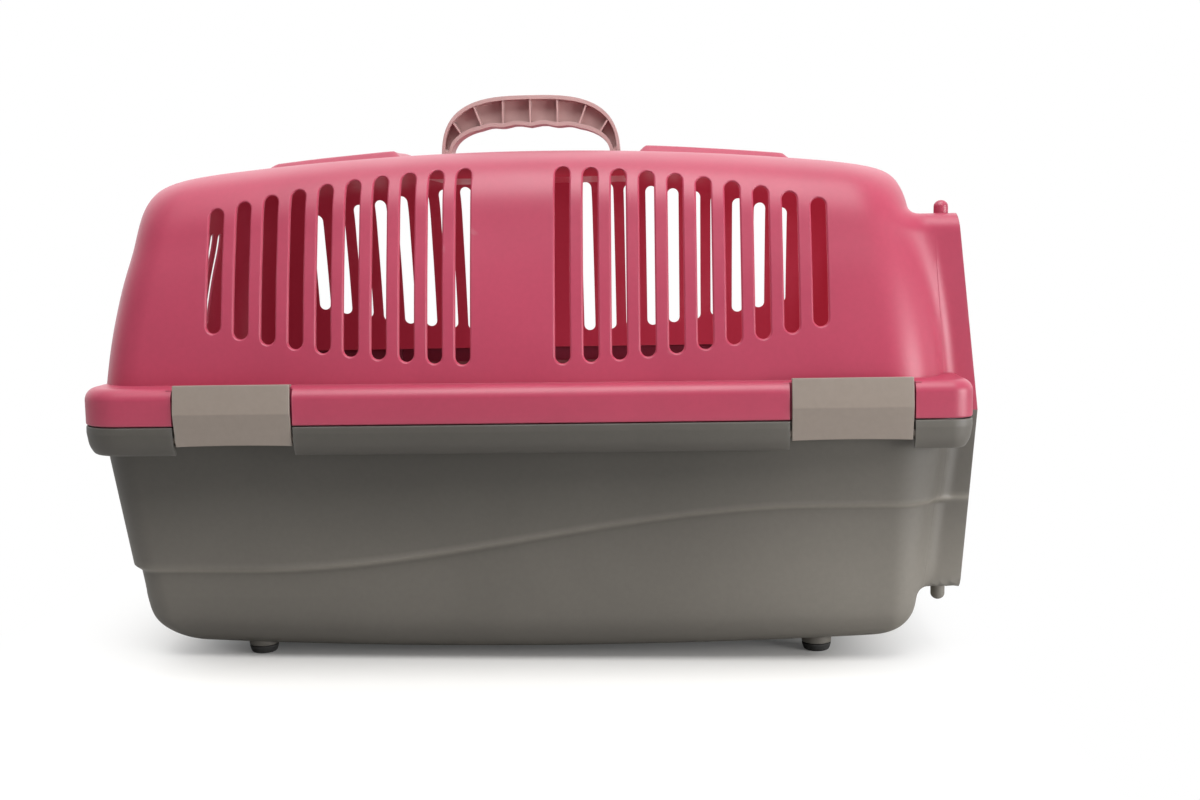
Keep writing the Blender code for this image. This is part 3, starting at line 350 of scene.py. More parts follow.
def cut(target, *tools):
    return combine(target, tools, "DIFFERENCE")


def joined(name, objects):
    """One mesh of several closed shapes that stand apart."""
    merged = bmesh.new()
    for obj in objects:
        merged.from_mesh(obj.data)
        bpy.data.objects.remove(obj)
    mesh = bpy.data.meshes.new(name)
    merged.to_mesh(mesh)
    merged.free()
    obj = bpy.data.objects.new(name, mesh)
    bpy.context.scene.collection.objects.link(obj)
    return obj


def tube(rings):
    """Faces of a stack of closed rings of the same size, with both ends capped."""
    rows, size = len(rings), len(rings[0])
    index = np.arange(rows * size).reshape(rows, size)
    after = np.roll(index, -1, axis=1)
    faces = np.stack((index[:-1], after[:-1], after[1:], index[1:]), axis=-1).reshape(-1, 4).tolist()
    return faces + [index[0][::-1].tolist(), index[-1].tolist()]


def loft(name, rings):
    rings = [np.asarray(ring, float) for ring in rings]
    return make(name, np.vstack(rings), tube(rings))


def prism(name, corners, vector):
    low = np.asarray(corners, float)
    return loft(name, [low, low + np.asarray(vector, float)])


def block(name, low, high, edge=0.0):
    corners = [(x, y, low[2]) for x, y in ((low[0], low[1]), (high[0], low[1]), (high[0], high[1]), (low[0], high[1]))]
    obj = prism(name, corners, (0, 0, high[2] - low[2]))
    return rounded(obj, edge) if edge else obj


def turned(name, profile, centre, steps=40, axis="z"):
    """A shape turned about an axis through centre. The profile lists (radius, distance along the axis)."""
    angles = 2 * PI * (np.arange(steps) + 0.5) / steps
    rings = []
    for radius, along in profile:
        a, b, c = radius * np.cos(angles), radius * np.sin(angles), np.full(steps, along)
        ring = np.column_stack((a, b, c)) if axis == "z" else np.column_stack((c, a, b))
        rings.append(ring + np.asarray(centre, float))
    return loft(name, rings)


def round_bar(name, radius, low, high, centre, axis="z"):
    """A plain round bar from low to high along its axis, mostly used as the cutter of a hole."""
    return turned(name, [(radius, low), (radius, high)], centre, 24, axis=axis)


def finish_surface(obj, material, angle=32):
    mesh = obj.data
    mesh.materials.clear()
    mesh.materials.append(material)
    mesh.polygons.foreach_set("material_index", [0] * len(mesh.polygons))
    mesh.shade_smooth()
    mesh.set_sharp_from_angle(angle=math.radians(angle))
    modifier = obj.modifiers.new("weighted", "WEIGHTED_NORMAL")
    modifier.keep_sharp = True
    modifier.weight = 60
    return obj


def stand_in(obj, *nodes):
    """Puts a finished piece in the frame, whose x = 0 is halfway along the carrier, in place of its CAD nodes."""
    obj.data.transform(Matrix.Translation((-BOX_MIDDLE, 0, 0)))
    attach(obj, BODY_OF[nodes[0]])
    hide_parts(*nodes)


# Shell surfaces


class Detail:
    """How many columns each part of an outline has."""

    def __init__(self, ends, corner, side, front):
        self.ends, self.corner, self.side, self.front = ends, corner, side, front


FINE = Detail(14, 16, 170, 46)
COARSE = Detail(4, 8, 40, 6)


def outline(rear, front, half, rear_corner, front_corner, flare=FLARE, bow=SIDE_BOW, detail=FINE):
    """A level of a shell from above, near side then far side, as (x, y) rows."""

    def width(x):
        return half + flare * x - bow * x * x

    rear_x = rear + rear_corner
    rear_y = width(rear_x) - rear_corner
    front_x = front - front_corner
    front_y = width(front_x) - front_corner
    share = np.linspace(0, 1, detail.ends, endpoint=False)
    rear_line = np.column_stack((np.full(len(share), rear), -rear_y * share))
    angle = np.linspace(PI, 1.5 * PI, detail.corner + 1)
    rear_arc = np.column_stack((rear_x + rear_corner * np.cos(angle), rear_corner * np.sin(angle) - rear_y))
    xs = np.linspace(rear_x, front_x, detail.side + 1)[1:-1]
    side = np.column_stack((xs, -width(xs)))
    angle = np.linspace(1.5 * PI, 2 * PI, detail.corner + 1)
    front_arc = np.column_stack((front_x + front_corner * np.cos(angle), front_corner * np.sin(angle) - front_y))
    share = 1 - np.linspace(0, 1, detail.front + 1)[1:] ** 1.5
    front_line = np.column_stack((np.full(len(share), front), -front_y * share))
    near = np.vstack((rear_line, rear_arc, side, front_arc, front_line))
    far = near[-2:0:-1] * (1, -1)
    return np.vstack((near, far))


def at_height(flat, z):
    height = z(flat[:, 0], flat[:, 1]) if callable(z) else np.full(len(flat), z)
    return np.column_stack((flat, height))


def smooth_rows(keys, spacing):
    """Rows along a natural cubic spline through the key rings."""
    keys = np.array(keys)
    gaps = np.linalg.norm(np.diff(keys, axis=0), axis=2).mean(axis=1)
    knots = np.concatenate(([0.0], np.cumsum(gaps)))
    count = len(knots)
    matrix = np.eye(count)
    right = np.zeros_like(keys)
    for i in range(1, count - 1):
        matrix[i, i - 1: i + 2] = gaps[i - 1], 2 * (gaps[i - 1] + gaps[i]), gaps[i]
        right[i] = 6 * ((keys[i + 1] - keys[i]) / gaps[i] - (keys[i] - keys[i - 1]) / gaps[i - 1])
    second = np.linalg.solve(matrix, right.reshape(count, -1)).reshape(keys.shape)
    rows = []
    for place in np.linspace(0, knots[-1], int(round(knots[-1] / spacing)) + 1):
        i = min(int(np.searchsorted(knots, place, side="right")) - 1, count - 2)
        h = gaps[i]
        a, b = (knots[i + 1] - place) / h, (place - knots[i]) / h
        rows.append(a * keys[i] + b * keys[i + 1]
                    + ((a**3 - a) * second[i] + (b**3 - b) * second[i + 1]) * h * h / 6)
    return rows


def row_normals(rings, inside):
    """Unit normals of a grid of rings, pointing away from a point inside."""
    grid = np.array(rings)
    along = np.roll(grid, -1, axis=1) - np.roll(grid, 1, axis=1)
    up = np.gradient(grid, axis=0)
    normal = np.cross(along, up)
    normal /= np.maximum(np.linalg.norm(normal, axis=2, keepdims=True), 1e-12)
    facing = np.sign(((grid - inside) * normal).sum(axis=2, keepdims=True))
    return normal * facing


def grow_collar(rings, centre, way, corner):
    """Moves the front of a shell out to the door collar, with a hollow fillet where the two meet.

    way is 1 for the roof, whose collar is closed above, and -1 for the tub, whose collar is closed below.
    """
    centre = np.asarray(centre, float)
    grid = np.array(rings)
    normal = row_normals(rings, centre)
    flat = grid.reshape(-1, 3)
    picked = np.nonzero(flat[:, 0] > 0.225)[0]
    ray = flat[picked] - centre
    reach = np.linalg.norm(ray, axis=1)
    ray /= reach[:, None]
    slope = np.maximum((ray * normal.reshape(-1, 3)[picked]).sum(axis=1), 0.35)
    end_z = COLLAR_TOP_Z if way > 0 else COLLAR_BOTTOM_Z
    limit = np.where(ray[:, 0] > 0.05, (0.335 - centre[0]) / np.maximum(ray[:, 0], 0.05), 9.0)
    limit = np.minimum(limit, reach + 0.09)

    def outside(t):
        place = centre + ray * t[:, None]
        body = (t - reach) * slope
        across = np.abs(place[:, 1]) - (COLLAR_HALF - corner)
        above = way * (place[:, 2] - end_z) + corner
        collar = np.hypot(np.maximum(across, 0), np.maximum(above, 0)) - corner
        collar += np.minimum(np.maximum(across, above), 0)
        ends = np.clip(0.5 + (above - across) / 0.030, 0.0, 1.0)
        fillet = COLLAR_FILLET + (END_FILLET - COLLAR_FILLET) * ends
        near = np.hypot(np.maximum(fillet - body, 0), np.maximum(fillet - collar, 0))
        return np.maximum(fillet, np.minimum(body, collar)) - near

    low = np.zeros(len(picked))
    high = limit.copy()
    for _ in range(34):
        middle = 0.5 * (low + high)
        inner = outside(middle) < 0
        low = np.where(inner, middle, low)
        high = np.where(inner, high, middle)
    flat[picked] = centre + ray * (0.5 * (low + high))[:, None]
    return list(grid)


def roof_height(x, y):
    return ROOF_PEAK_Z - ROOF_CROWN_X * x * x - ROOF_CROWN_Y * y * y


def shoulder_start_z():
    return SHOULDER_TOP_Z - SHOULDER * (1 - math.sin(WALL_LEAN))


def roof_outline(rise, end_rise, end_inset, side_inset, corners, detail):
    """The wall from above, rise over the rim. end_rise leaves out how far the crown falls towards the ends."""
    curve = max(end_rise, 0.0) ** 2
    return outline(
        ROOF_REAR + END_LEAN * end_rise + REAR_CURVE * curve + end_inset,
        ROOF_FRONT - END_LEAN * end_rise - FRONT_CURVE * curve - end_inset,
        ROOF_HALF - SIDE_LEAN * rise - SIDE_CURVE * max(rise, 0.0) ** 2 - side_inset,
        *corners, detail=detail)


def roof_wall(z, inset, detail):
    rise = z - FLANGE_TOP_Z
    share = max(rise, 0.0) / (shoulder_start_z() - FLANGE_TOP_Z)
    fall = share * share * ROOF_CROWN_X
    corners = REAR_CORNER - inset, FRONT_CORNER - inset
    flat = roof_outline(rise, rise - fall * CROWN_REACH**2, inset, inset, corners, detail)
    return at_height(flat, lambda x, y: z - fall * x * x)


def shoulder(degrees, inset, detail):
    angle = math.radians(degrees)
    rise = shoulder_start_z() - FLANGE_TOP_Z
    turn = math.cos(WALL_LEAN) - math.cos(angle)
    z = SHOULDER_TOP_Z - (SHOULDER - inset) * (1 - math.sin(angle)) - inset
    level_inset = inset * math.cos(angle)
    flat = roof_outline(rise, rise - ROOF_CROWN_X * CROWN_REACH**2, END_SHOULDER * turn + level_inset,
                        SHOULDER * turn + level_inset, (REAR_CORNER, FRONT_CORNER), detail)
    return at_height(flat, lambda x, y: z - ROOF_CROWN_X * x * x)


def roof_level(half, inset, detail):
    flat = outline(-0.2200 - (half - 0.070), 0.2080 + (half - 0.070), half, 0.5 * half, 0.5 * half, detail=detail)
    return at_height(flat, lambda x, y: roof_height(x, y) - inset)


def ease(value):
    value = np.clip(value, 0.0, 1.0)
    return value * value * (3 - 2 * value)


def pad_rise(x, y):
    """The two low pads moulded on the roof, thicker towards the handle."""
    across = ease((0.079 - np.abs(y)) / 0.008)
    rear = ease((x + 0.197) / 0.012) * ease((-0.0925 - x) / 0.008)
    front = ease((x - 0.0770) / 0.009) * ease((0.1925 - x) / 0.010)
    rear_height = 0.0038 + 0.0022 * np.clip((x + 0.20) / 0.10, 0, 1)
    front_height = 0.0064 - 0.0010 * np.clip((x - 0.08) / 0.11, 0, 1)
    return across * (rear * rear_height + front * front_height)


def roof_rings(inset, detail, spacing):
    keys = [roof_level(half, inset, detail) for half in (0.004, 0.030, 0.060)]
    keys += [shoulder(degrees, inset, detail) for degrees in (76, 58, 40, 22)]
    keys += [roof_wall(z, inset, detail) for z in (0.3075, 0.282, 0.255, 0.228, FLANGE_TOP_Z, 0.1650)]
    return smooth_rows(keys, spacing)


def rim(inset, z, detail=FINE):
    flat = outline(RIM_REAR + inset, RIM_FRONT - inset, RIM_HALF - inset, 0.031 - min(inset, 0.022),
                   max(0.016 - inset, 0.004), flare=0.0, detail=detail)
    return at_height(flat, z)


def front_trim(name, far_x, far_z):
    """Cutter that gives a collar its leaning front edge, from the split to far_z."""
    tip = COLLAR_FRONT_SPLIT - 0.0001
    lean = (far_x - tip) / (far_z - SPLIT_Z)
    ends = [(tip + lean * reach, -0.25, SPLIT_Z + reach) for reach in (-0.16, 0.16)]
    return prism(name, ends + [(0.40, -0.25, SPLIT_Z + 0.16), (0.40, -0.25, SPLIT_Z - 0.16)], (0, 0.5, 0))


def rounded_outline(low_y, high_y, low_z, high_z, radius, steps=10):
    points = []
    for y, z, start in ((high_y - radius, low_z + radius, -0.5), (high_y - radius, high_z - radius, 0.0),
                        (low_y + radius, high_z - radius, 0.5), (low_y + radius, low_z + radius, 1.0)):
        for step in range(steps + 1):
            angle = PI * (start + 0.5 * step / steps)
            points.append((y + radius * math.cos(angle), z + radius * math.sin(angle)))
    return points


def doorway(name):
    half = COLLAR_HALF - WALL
    corners = rounded_outline(-half, half, COLLAR_BOTTOM_Z + WALL, COLLAR_TOP_Z - WALL, 0.0095)
    return plate_x(name, corners, 0.22, 0.36)


def plate_x(name, corners, back, front):
    return prism(name, [(back, y, z) for y, z in corners], (front - back, 0, 0))


def stadium(half_width, low, high, steps=12, along=40):
    """An upright slot outline with round ends and points all along its straight sides."""
    points = []
    for centre, start, way in ((high - half_width, 0.0, 1), (low + half_width, PI, -1)):
        for step in range(steps + 1):
            angle = start + PI * step / steps
            points.append((half_width * math.cos(angle), centre + half_width * math.sin(angle)))
        length = high - low - 2 * half_width
        for step in range(1, along):
            points.append((-way * half_width, centre - way * length * step / along))
    return points


def slot_profile():
    """(widening, depth) of a slot's wall from inside to outside, with a rounded outer edge."""
    stations = [(0.0, None), (0.0, SLOT_EDGE)]
    for degrees in (15, 30, 45, 58):
        angle = math.radians(degrees)
        stations.append((SLOT_EDGE * (1 - math.cos(angle)), SLOT_EDGE * (1 - math.sin(angle))))
    return stations + [(stations[-1][0] + 0.0010, stations[-1][1] - 0.0008), (stations[-1][0] + 0.0010, "clear")]


def slot_cutter(tree, low, high, to_point, start, ray, inner, outer):
    """A cutter whose edges follow the shell's outer surface, found by casting rays against it."""
    rings = []
    for widen, depth in slot_profile():
        ring = []
        for across, z in stadium(SLOT_WIDTH / 2 + widen, low - widen, high + widen):
            place = to_point(across, z)
            origin = Vector(place) + Vector(start)
            hit = tree.ray_cast(origin, Vector(ray))[0]
            if depth == "clear":
                ring.append(Vector(place) + Vector(outer))
            elif depth is None or hit is None:
                ring.append(Vector(place) + Vector(inner))
            else:
                ring.append(hit + Vector(ray) * depth)
        rings.append(ring)
    return loft("slot", rings)


def side_slots(tree):
    distances = [CENTRE_BAND / 2 + SLOT_PITCH * index for index in range(SLOTS_PER_GROUP)]
    cutters = []
    for side in (-1, 1):
        for distance in [-d for d in distances] + distances:
            x = MIDDLE_X + distance
            low, high = 0.2122 + 0.55 * distance**2, 0.3455 - 0.60 * distance**2
            cutters.append(slot_cutter(
                tree, low, high, lambda across, z: (x + across, 0.0, z),
                (0, side * 0.30, 0), (0, -side, 0), (0, side * 0.085, 0), (0, side * 0.215, 0)))
    return joined("side_slots", cutters)


def rear_slots(tree):
    cutters = []
    for index in range(REAR_SLOTS):
        y = SLOT_PITCH * (index - (REAR_SLOTS - 1) / 2)
        cutters.append(slot_cutter(
            tree, 0.228, 0.305, lambda across, z: (0.0, y + across, z),
            (-0.40, 0, 0), (1, 0, 0), (-0.24, 0, 0), (-0.32, 0, 0)))
    return joined("rear_slots", cutters)


def surface_tree(obj):
    shape = bmesh.new()
    shape.from_mesh(obj.data)
    tree = BVHTree.FromBMesh(shape)
    shape.free()
    return tree


def well_block(name, ends, sides, low_z, high_z):
    half = HANDLE_HALF + 0.0015 + ends
    return block(name, (MIDDLE_X - half, -WELL_HALF - sides, low_z), (MIDDLE_X + half, WELL_HALF + sides, high_z))


def socket(name, foot_z, tip_z):
    """The round boss at an end of the door's rod, with a domed tip."""
    radius, dome = 0.0049, math.copysign(0.0042, tip_z - foot_z)
    profile = [(0.0050, foot_z), (radius, tip_z - dome)]
    for degrees in (15, 35, 55, 72, 84):
        angle = math.radians(degrees)
        profile.append((radius * math.cos(angle), tip_z - dome * (1 - math.sin(angle))))
    return turned(name, profile, (DOOR_X, HINGE_Y, 0.0))


def mark_vertices(shell, name, values):
    shell.data.attributes.new(name, "FLOAT", "POINT").data.foreach_set("value", values)


def mark_inside(shell, tree, front=0.5):
    """Marks the faces inside a shell, where an emission paints the daylight that comes through the roof's thin wall.

    The mark fades out towards x = front and low in the tub, and leaves out the handle's well.
    """
    values = []
    for vertex in shell.data.vertices:
        x, y, z = vertex.co
        place, normal, _, distance = tree.find_nearest(vertex.co)
        within = (vertex.co - place).dot(normal) < 0
        in_well = abs(x - MIDDLE_X) < 0.0765 and abs(y) < 0.0600 and z > WELL_FLOOR_Z - 0.0005
        depth = min(1.0, distance / 0.0022) if within and not in_well else 0.0
        height = min(1.0, max(0.15, (z - 0.09) / 0.08))
        values.append(depth * height * min(1.0, max(0.0, (front - x) / 0.03)))
    mark_vertices(shell, "lit_through", values)


def roof_shell():
    rings = roof_rings(0.0, FINE, 0.0021)
    rings = grow_collar(rings, (0.200, 0.0, 0.250), 1, 0.012)
    for ring in rings:
        upper = ring[:, 2] > 0.33
        ring[upper, 2] += pad_rise(ring[upper, 0], ring[upper, 1])
    shell = loft("roof_shell", rings)
    tree = surface_tree(shell)
    low = SPLIT_Z + SEAM
    flange = [rim(0.030, FLANGE_TOP_Z), rim(0.012, FLANGE_TOP_Z)]
    for degrees in range(90, -1, -9):
        angle = math.radians(degrees)
        flange.append(rim(RIM_ROUND * (1 - math.cos(angle)), FLANGE_TOP_Z - RIM_ROUND * (1 - math.sin(angle))))
    flange += [rim(0.0, z) for z in (0.1880, 0.1820, low + 0.0012)]
    flange += [rim(0.0002, low + 0.0005), rim(0.0006, low + 0.0001), rim(0.0011, low)]
    add(shell, loft("roof_flange", flange))
    add(shell, socket("roof_socket", COLLAR_TOP_Z - 0.004, 0.3180))
    inner = roof_rings(WALL, COARSE, 0.006)
    inner.append(roof_wall(0.1650, WALL, COARSE))
    cut(shell, loft("roof_inside", inner))
    under = FLANGE_TOP_Z - WALL
    hollow = [rim(0.030, under, COARSE), rim(0.0075, under, COARSE), rim(WALL + 0.0008, under - 0.0015, COARSE),
              rim(WALL, 0.170, COARSE)]
    cut(shell, loft("flange_inside", hollow))
    cut(shell, block("below_split", (-0.5, -0.5, 0.10), (0.266, 0.5, low)))
    for side in (-1, 1):
        ys = sorted((side * 0.1458, side * 0.5))
        cut(shell, block("below_rim", (0.20, ys[0], 0.10), (0.5, ys[1], low)))
    cut(shell, block("below_collar", (0.20, -0.30, 0.10), (0.5, 0.30, SPLIT_Z - SEAM + 0.0001)))
    cut(shell, front_trim("roof_trim", COLLAR_FRONT_TOP, COLLAR_TOP_Z))
    cut(shell, well_block("well_mouth", 0.0010, 0.0010, WELL_FLOOR_Z, 0.3725))
    tray = well_block("well", WALL, WALL, WELL_FLOOR_Z - WALL, ROOF_PEAK_Z - 0.0028)
    cut(tray, well_block("pocket", 0.0, 0.0, WELL_FLOOR_Z, 0.3725))
    add(shell, tray)
    bosses, bores = [], []
    for side in (-1, 1):
        start = MIDDLE_X + side * (HANDLE_HALF + 0.0025)
        ends = sorted((start, start + side * 0.010))
        bosses.append(block("boss", (ends[0], -0.0065, PIVOT_Z - 0.006), (ends[1], 0.0065, ROOF_PEAK_Z - 0.0016)))
        ends = sorted((MIDDLE_X + side * (HANDLE_HALF - 0.004), MIDDLE_X + side * (HANDLE_HALF + 0.020)))
        bores.append(round_bar("bore", PIN_BORE, *ends, (0, 0, PIVOT_Z), "x"))
    add(shell, joined("bosses", bosses))
    panels, notches = [], []
    for centre in CLIP_CENTRES:
        for side in (-1, 1):
            ys = sorted((side * (RECESS_OUTER - WALL), side * (RECESS_OUTER + 0.001)))
            half = CLIP_HALF + CLIP_GAP + 0.004
            panels.append(block("panel", (centre - half, ys[0], low), (centre + half, ys[1], FLANGE_TOP_Z - 0.001)))
            notches.append(notch(centre, side, ((RECESS_OUTER, 0.165), (0.23, 0.165), (0.23, 0.2105),
                                                (RECESS_OUTER, 0.2105))))
    add(shell, joined("panels", panels))
    cut(shell, doorway("roof_doorway"))
    cut(shell, side_slots(tree))
    cut(shell, rear_slots(tree))
    cut(shell, joined("bores", bores))
    cut(shell, joined("roof_notches", notches))
    cut(shell, round_bar("rod_hole", ROD_BORE, 0.20, 0.3145, (DOOR_X, HINGE_Y, 0)), latch_hole(COLLAR_TOP_Z))
    mark_inside(shell, tree)
    stand_in(finish_surface(shell, PINK), "upper_shell")


def notch(centre, side, section):
    """Cutter for a clip's place in a rim, from (y, z) corners."""
    half = CLIP_HALF + CLIP_GAP
    return prism("notch", [(centre - half, side * y, z) for y, z in section], (2 * half, 0, 0))


def latch_hole(z):
    """Cutter for the hole in the collar that a latch bolt slides into."""
    return block("latch_hole", (0.2866, LATCH_Y - 0.0046, z - 0.010), (0.2918, LATCH_Y + 0.0046, z + 0.010))


# Tub


def wave_z(x):
    return WAVE_LOW_Z + WAVE_RISE * ease((x + WAVE_REACH) / (2 * WAVE_REACH))


def tub_outline(inset, detail, step=0.0):
    """The tub from above. step is the part of the inset that belongs to the moulded step, which is deeper behind."""
    corner = max(TUB_REAR_CORNER - 0.3 * inset, 0.006), max(FRONT_CORNER - inset, 0.006)
    rear = TUB_REAR + REAR_LEAN_SHARE * inset + REAR_STEP / WAVE_STEP * step
    return outline(rear, TUB_FRONT - inset, TUB_HALF - inset, *corner, detail=detail)


def tub_level(height, extra, detail, step=0.0):
    """A level whose height follows a function of x. Each column takes the inset of its own height."""
    flat = tub_outline(0.0, detail)
    z = height(flat[:, 0])
    inset = TUB_LEAN * (SPLIT_Z - z) + extra + step
    low, high = float(inset.min()), float(inset.max())
    if high - low < 1e-6:
        flat = tub_outline(low, detail, step)
    else:
        first, last = tub_outline(low, detail, step), tub_outline(high, detail, step)
        share = ((inset - low) / (high - low))[:, None]
        flat = first + (last - first) * share
    return np.column_stack((flat, z))


def floor_rise(x):
    """The floor is crowned along, and climbs to the door end."""
    return BOTTOM_TILT * x + BOTTOM_CROWN * x * x


def tub_bottom(degrees, inset, detail):
    turn = math.radians(degrees)
    start_z = TUB_BOTTOM_Z + BOTTOM_CORNER
    radius = BOTTOM_CORNER - inset
    wall_inset = TUB_LEAN * (SPLIT_Z - start_z) + WAVE_STEP + inset
    flat = tub_outline(wall_inset + radius * (1 - math.cos(turn)), detail, WAVE_STEP)
    return at_height(flat, lambda x, y: start_z + (floor_rise(x) - radius) * math.sin(turn))


def tub_floor(half, inset, detail):
    flat = tub_outline(TUB_HALF - half, detail, WAVE_STEP)
    return at_height(flat, lambda x, y: TUB_BOTTOM_Z + inset + floor_rise(x))


def step_inset(s):
    """How far the wall steps in, s above the moulded line: a soft rounded lip, then the full step below it."""
    return WAVE_STEP * (1 - float(ease((s + 0.0012) / 0.0057)))


def tub_rings(inset, detail, spacing):
    keys = [tub_floor(half, inset, detail) for half in (0.006, 0.045, 0.085)]
    keys += [tub_bottom(degrees, inset, detail) for degrees in (82, 62, 42, 22, 2)]
    keys.append(tub_level(lambda x: wave_z(x) - 0.0100, inset, detail, WAVE_STEP))
    keys.append(tub_level(lambda x: wave_z(x) - 0.0025, inset, detail, WAVE_STEP))
    rings = smooth_rows(keys, spacing)
    if inset:
        rings.append(tub_level(lambda x: wave_z(x) + 0.0012, inset, detail))
    else:
        for s in np.linspace(-0.0012, 0.0045, 12):
            rings.append(tub_level(lambda x: wave_z(x) + s, 0.0, detail, step_inset(s)))
    top = SPLIT_Z - WALL
    count = 24 if not inset else 6
    for share in np.linspace(0, 1, count + 1)[1:]:
        rings.append(tub_level(lambda x: wave_z(x) + 0.0045 + share * (top - wave_z(x) - 0.0045), inset, detail))
    return rings


def tub_shell():
    rings = tub_rings(0.0, FINE, 0.0024)
    rings.append(at_height(rings[-1][:, :2], 0.2150))
    rings = grow_collar(rings, (0.200, 0.0, 0.120), -1, 0.006)
    tub = loft("tub_shell", rings)
    tree = surface_tree(tub)
    top = SPLIT_Z - SEAM
    keys = [rim(0.0, 0.1700), rim(0.0006, 0.1660), rim(0.0020, 0.1600), rim(0.0042, 0.1562)]
    skirt = [rim(0.030, top), rim(0.0011, top), rim(0.0006, top - 0.0001), rim(0.0002, top - 0.0005),
             rim(0.0001, top - 0.0012)]
    skirt += smooth_rows(keys, 0.0008)
    skirt += [rim(0.0050, 0.1554), rim(0.0058, 0.1550), rim(0.0066, 0.1551), rim(0.0070, 0.1556), rim(0.0070, 0.1580),
              rim(0.0048, 0.1610), rim(0.0032, 0.1700), rim(0.0045, SPLIT_Z - WALL), rim(0.030, SPLIT_Z - WALL)]
    add(tub, loft("tub_skirt", skirt))
    add(tub, socket("tub_socket", COLLAR_BOTTOM_Z + 0.004, 0.0380))
    inner = tub_rings(WALL, COARSE, 0.008)
    inner.append(at_height(inner[-1][:, :2], 0.2300))
    cut(tub, block("above_split", (-0.5, -0.5, top), (0.5, 0.5, 0.30)))
    flat = tub_outline(0.0015, COARSE)
    lip = [at_height(flat, SPLIT_Z - 0.001), at_height(flat, 0.1855), at_height(tub_outline(0.0020, COARSE), 0.186)]
    add(tub, loft("lip", lip))
    cut(tub, loft("tub_inside", inner))
    lugs, holes, notches = [], [], []
    under = SPLIT_Z - WALL - 0.0004
    for centre in CLIP_CENTRES:
        for side in (-1, 1):
            notches.append(notch(centre, side, ((0.1858, 0.145), (0.23, 0.145), (0.23, 0.19), (RECESS_OUTER, 0.19),
                                                (RECESS_OUTER, under), (0.1858, under))))
            for end in (-1, 1):
                start = centre + end * (CLIP_HALF + CLIP_GAP)
                xs = sorted((start, start + end * 0.006))
                ys = sorted((side * 0.1862, side * 0.1938))
                lugs.append(block("lug", (xs[0], ys[0], CLIP_HINGE_Z - 0.005), (xs[1], ys[1], SPLIT_Z - 0.0012)))
                xs = sorted((start - end * 0.001, start + end * 0.007))
                holes.append(round_bar("hole", 0.0028, *xs, (0, side * CLIP_HINGE_Y, CLIP_HINGE_Z), "x"))
    seats, stems = [], []
    for x in FOOT_XS:
        for side in (-1, 1):
            centre = (x, side * FOOT_Y, 0)
            seats.append(turned("seat", [(0.0100, 0.0058), (0.0105, 0.0063), (0.0108, 0.0150)], centre, 56))
            stems.append(round_bar("stem", 0.0038, 0.0, 0.030, centre))
    add(tub, joined("lugs", lugs))
    add(tub, joined("seats", seats))
    cut(tub, doorway("tub_doorway"))
    cut(tub, block("lip_relief", (0.255, -0.147, SPLIT_Z - SEAM), (0.33, 0.147, 0.20)))
    cut(tub, front_trim("tub_trim", COLLAR_FRONT_BOTTOM, COLLAR_BOTTOM_Z))
    cut(tub, joined("tub_notches", notches))
    cut(tub, joined("lug_holes", holes))
    cut(tub, round_bar("rod_hole", ROD_BORE, 0.0394, 0.12, (DOOR_X, HINGE_Y, 0)), latch_hole(COLLAR_BOTTOM_Z))
    cut(tub, joined("stem_holes", stems))
    mark_inside(tub, tree, 0.255)
    # Where the tub's material paints a highlight along the moulded lip.
    values = []
    for vertex in tub.data.vertices:
        above = (vertex.co.z - wave_z(vertex.co.x) - 0.0022) / 0.0019
        values.append(float(np.exp(-above * above)))
    mark_vertices(tub, "lip", values)
    stand_in(finish_surface(tub, GREY), "lower_shell")


def feet():
    for hand, side in (("right", -1), ("left", 1)):
        for end, x in zip(("rear", "front"), FOOT_XS):
            profile = [(0.0072, 0.0), (0.0084, 0.0002), (0.0091, 0.0008), (0.0095, 0.0018), (0.0100, 0.0034),
                       (0.0103, 0.0046), (0.0103, 0.0051), (0.0099, 0.0055), (0.0034, 0.0055), (0.0034, 0.0156),
                       (0.0050, 0.0158), (0.0046, 0.0172), (0.0024, 0.0192)]
            foot = turned(f"foot_{hand}_{end}_rubber", profile, (x, side * FOOT_Y, 0), 56)
            stand_in(finish_surface(foot, RUBBER), f"foot_{hand}_{end}")


# Handle


def signed_power(value, power):
    return math.copysign(abs(value) ** power, value)


def handle_station(share):
    angle = PI * (share - 0.10 * math.sin(2 * PI * share))
    across = signed_power(math.cos(angle), 2 / 3)
    up = abs(math.sin(angle)) ** (2 / 3)
    outer = Vector((MIDDLE_X + HANDLE_HALF * across, PIVOT_Z + HANDLE_RISE * up))
    inner_x = (HANDLE_HALF - HANDLE_LEG) * across
    fade = max(0.0, 1 - (abs(inner_x) / 0.042) ** 4)
    grip = 0.0008 * fade * math.cos(2 * PI * inner_x / FINGER_PITCH)
    return Vector((MIDDLE_X + inner_x, PIVOT_Z + HANDLE_INNER_RISE * up - grip)), outer


def arch_z(x, half, rise):
    return PIVOT_Z + rise * (1 - abs(x / half) ** 3) ** (1 / 3)


def grip_section(inner, outer):
    """An I-section, and a solid one in the legs."""
    depth, flange = 0.0095, 0.0031
    web = 0.0014 if outer.y > PIVOT_Z + 0.0150 else depth - 0.0006
    span = (outer - inner).length
    unit = (outer - inner) / span
    section = [(0, -depth), (0, depth), (flange, depth), (flange, web), (span - flange, web), (span - flange, depth),
               (span, depth), (span, -depth), (span - flange, -depth), (span - flange, -web), (flange, -web),
               (flange, -depth)]
    return [(inner.x + unit.x * reach, y, inner.y + unit.y * reach) for reach, y in section]


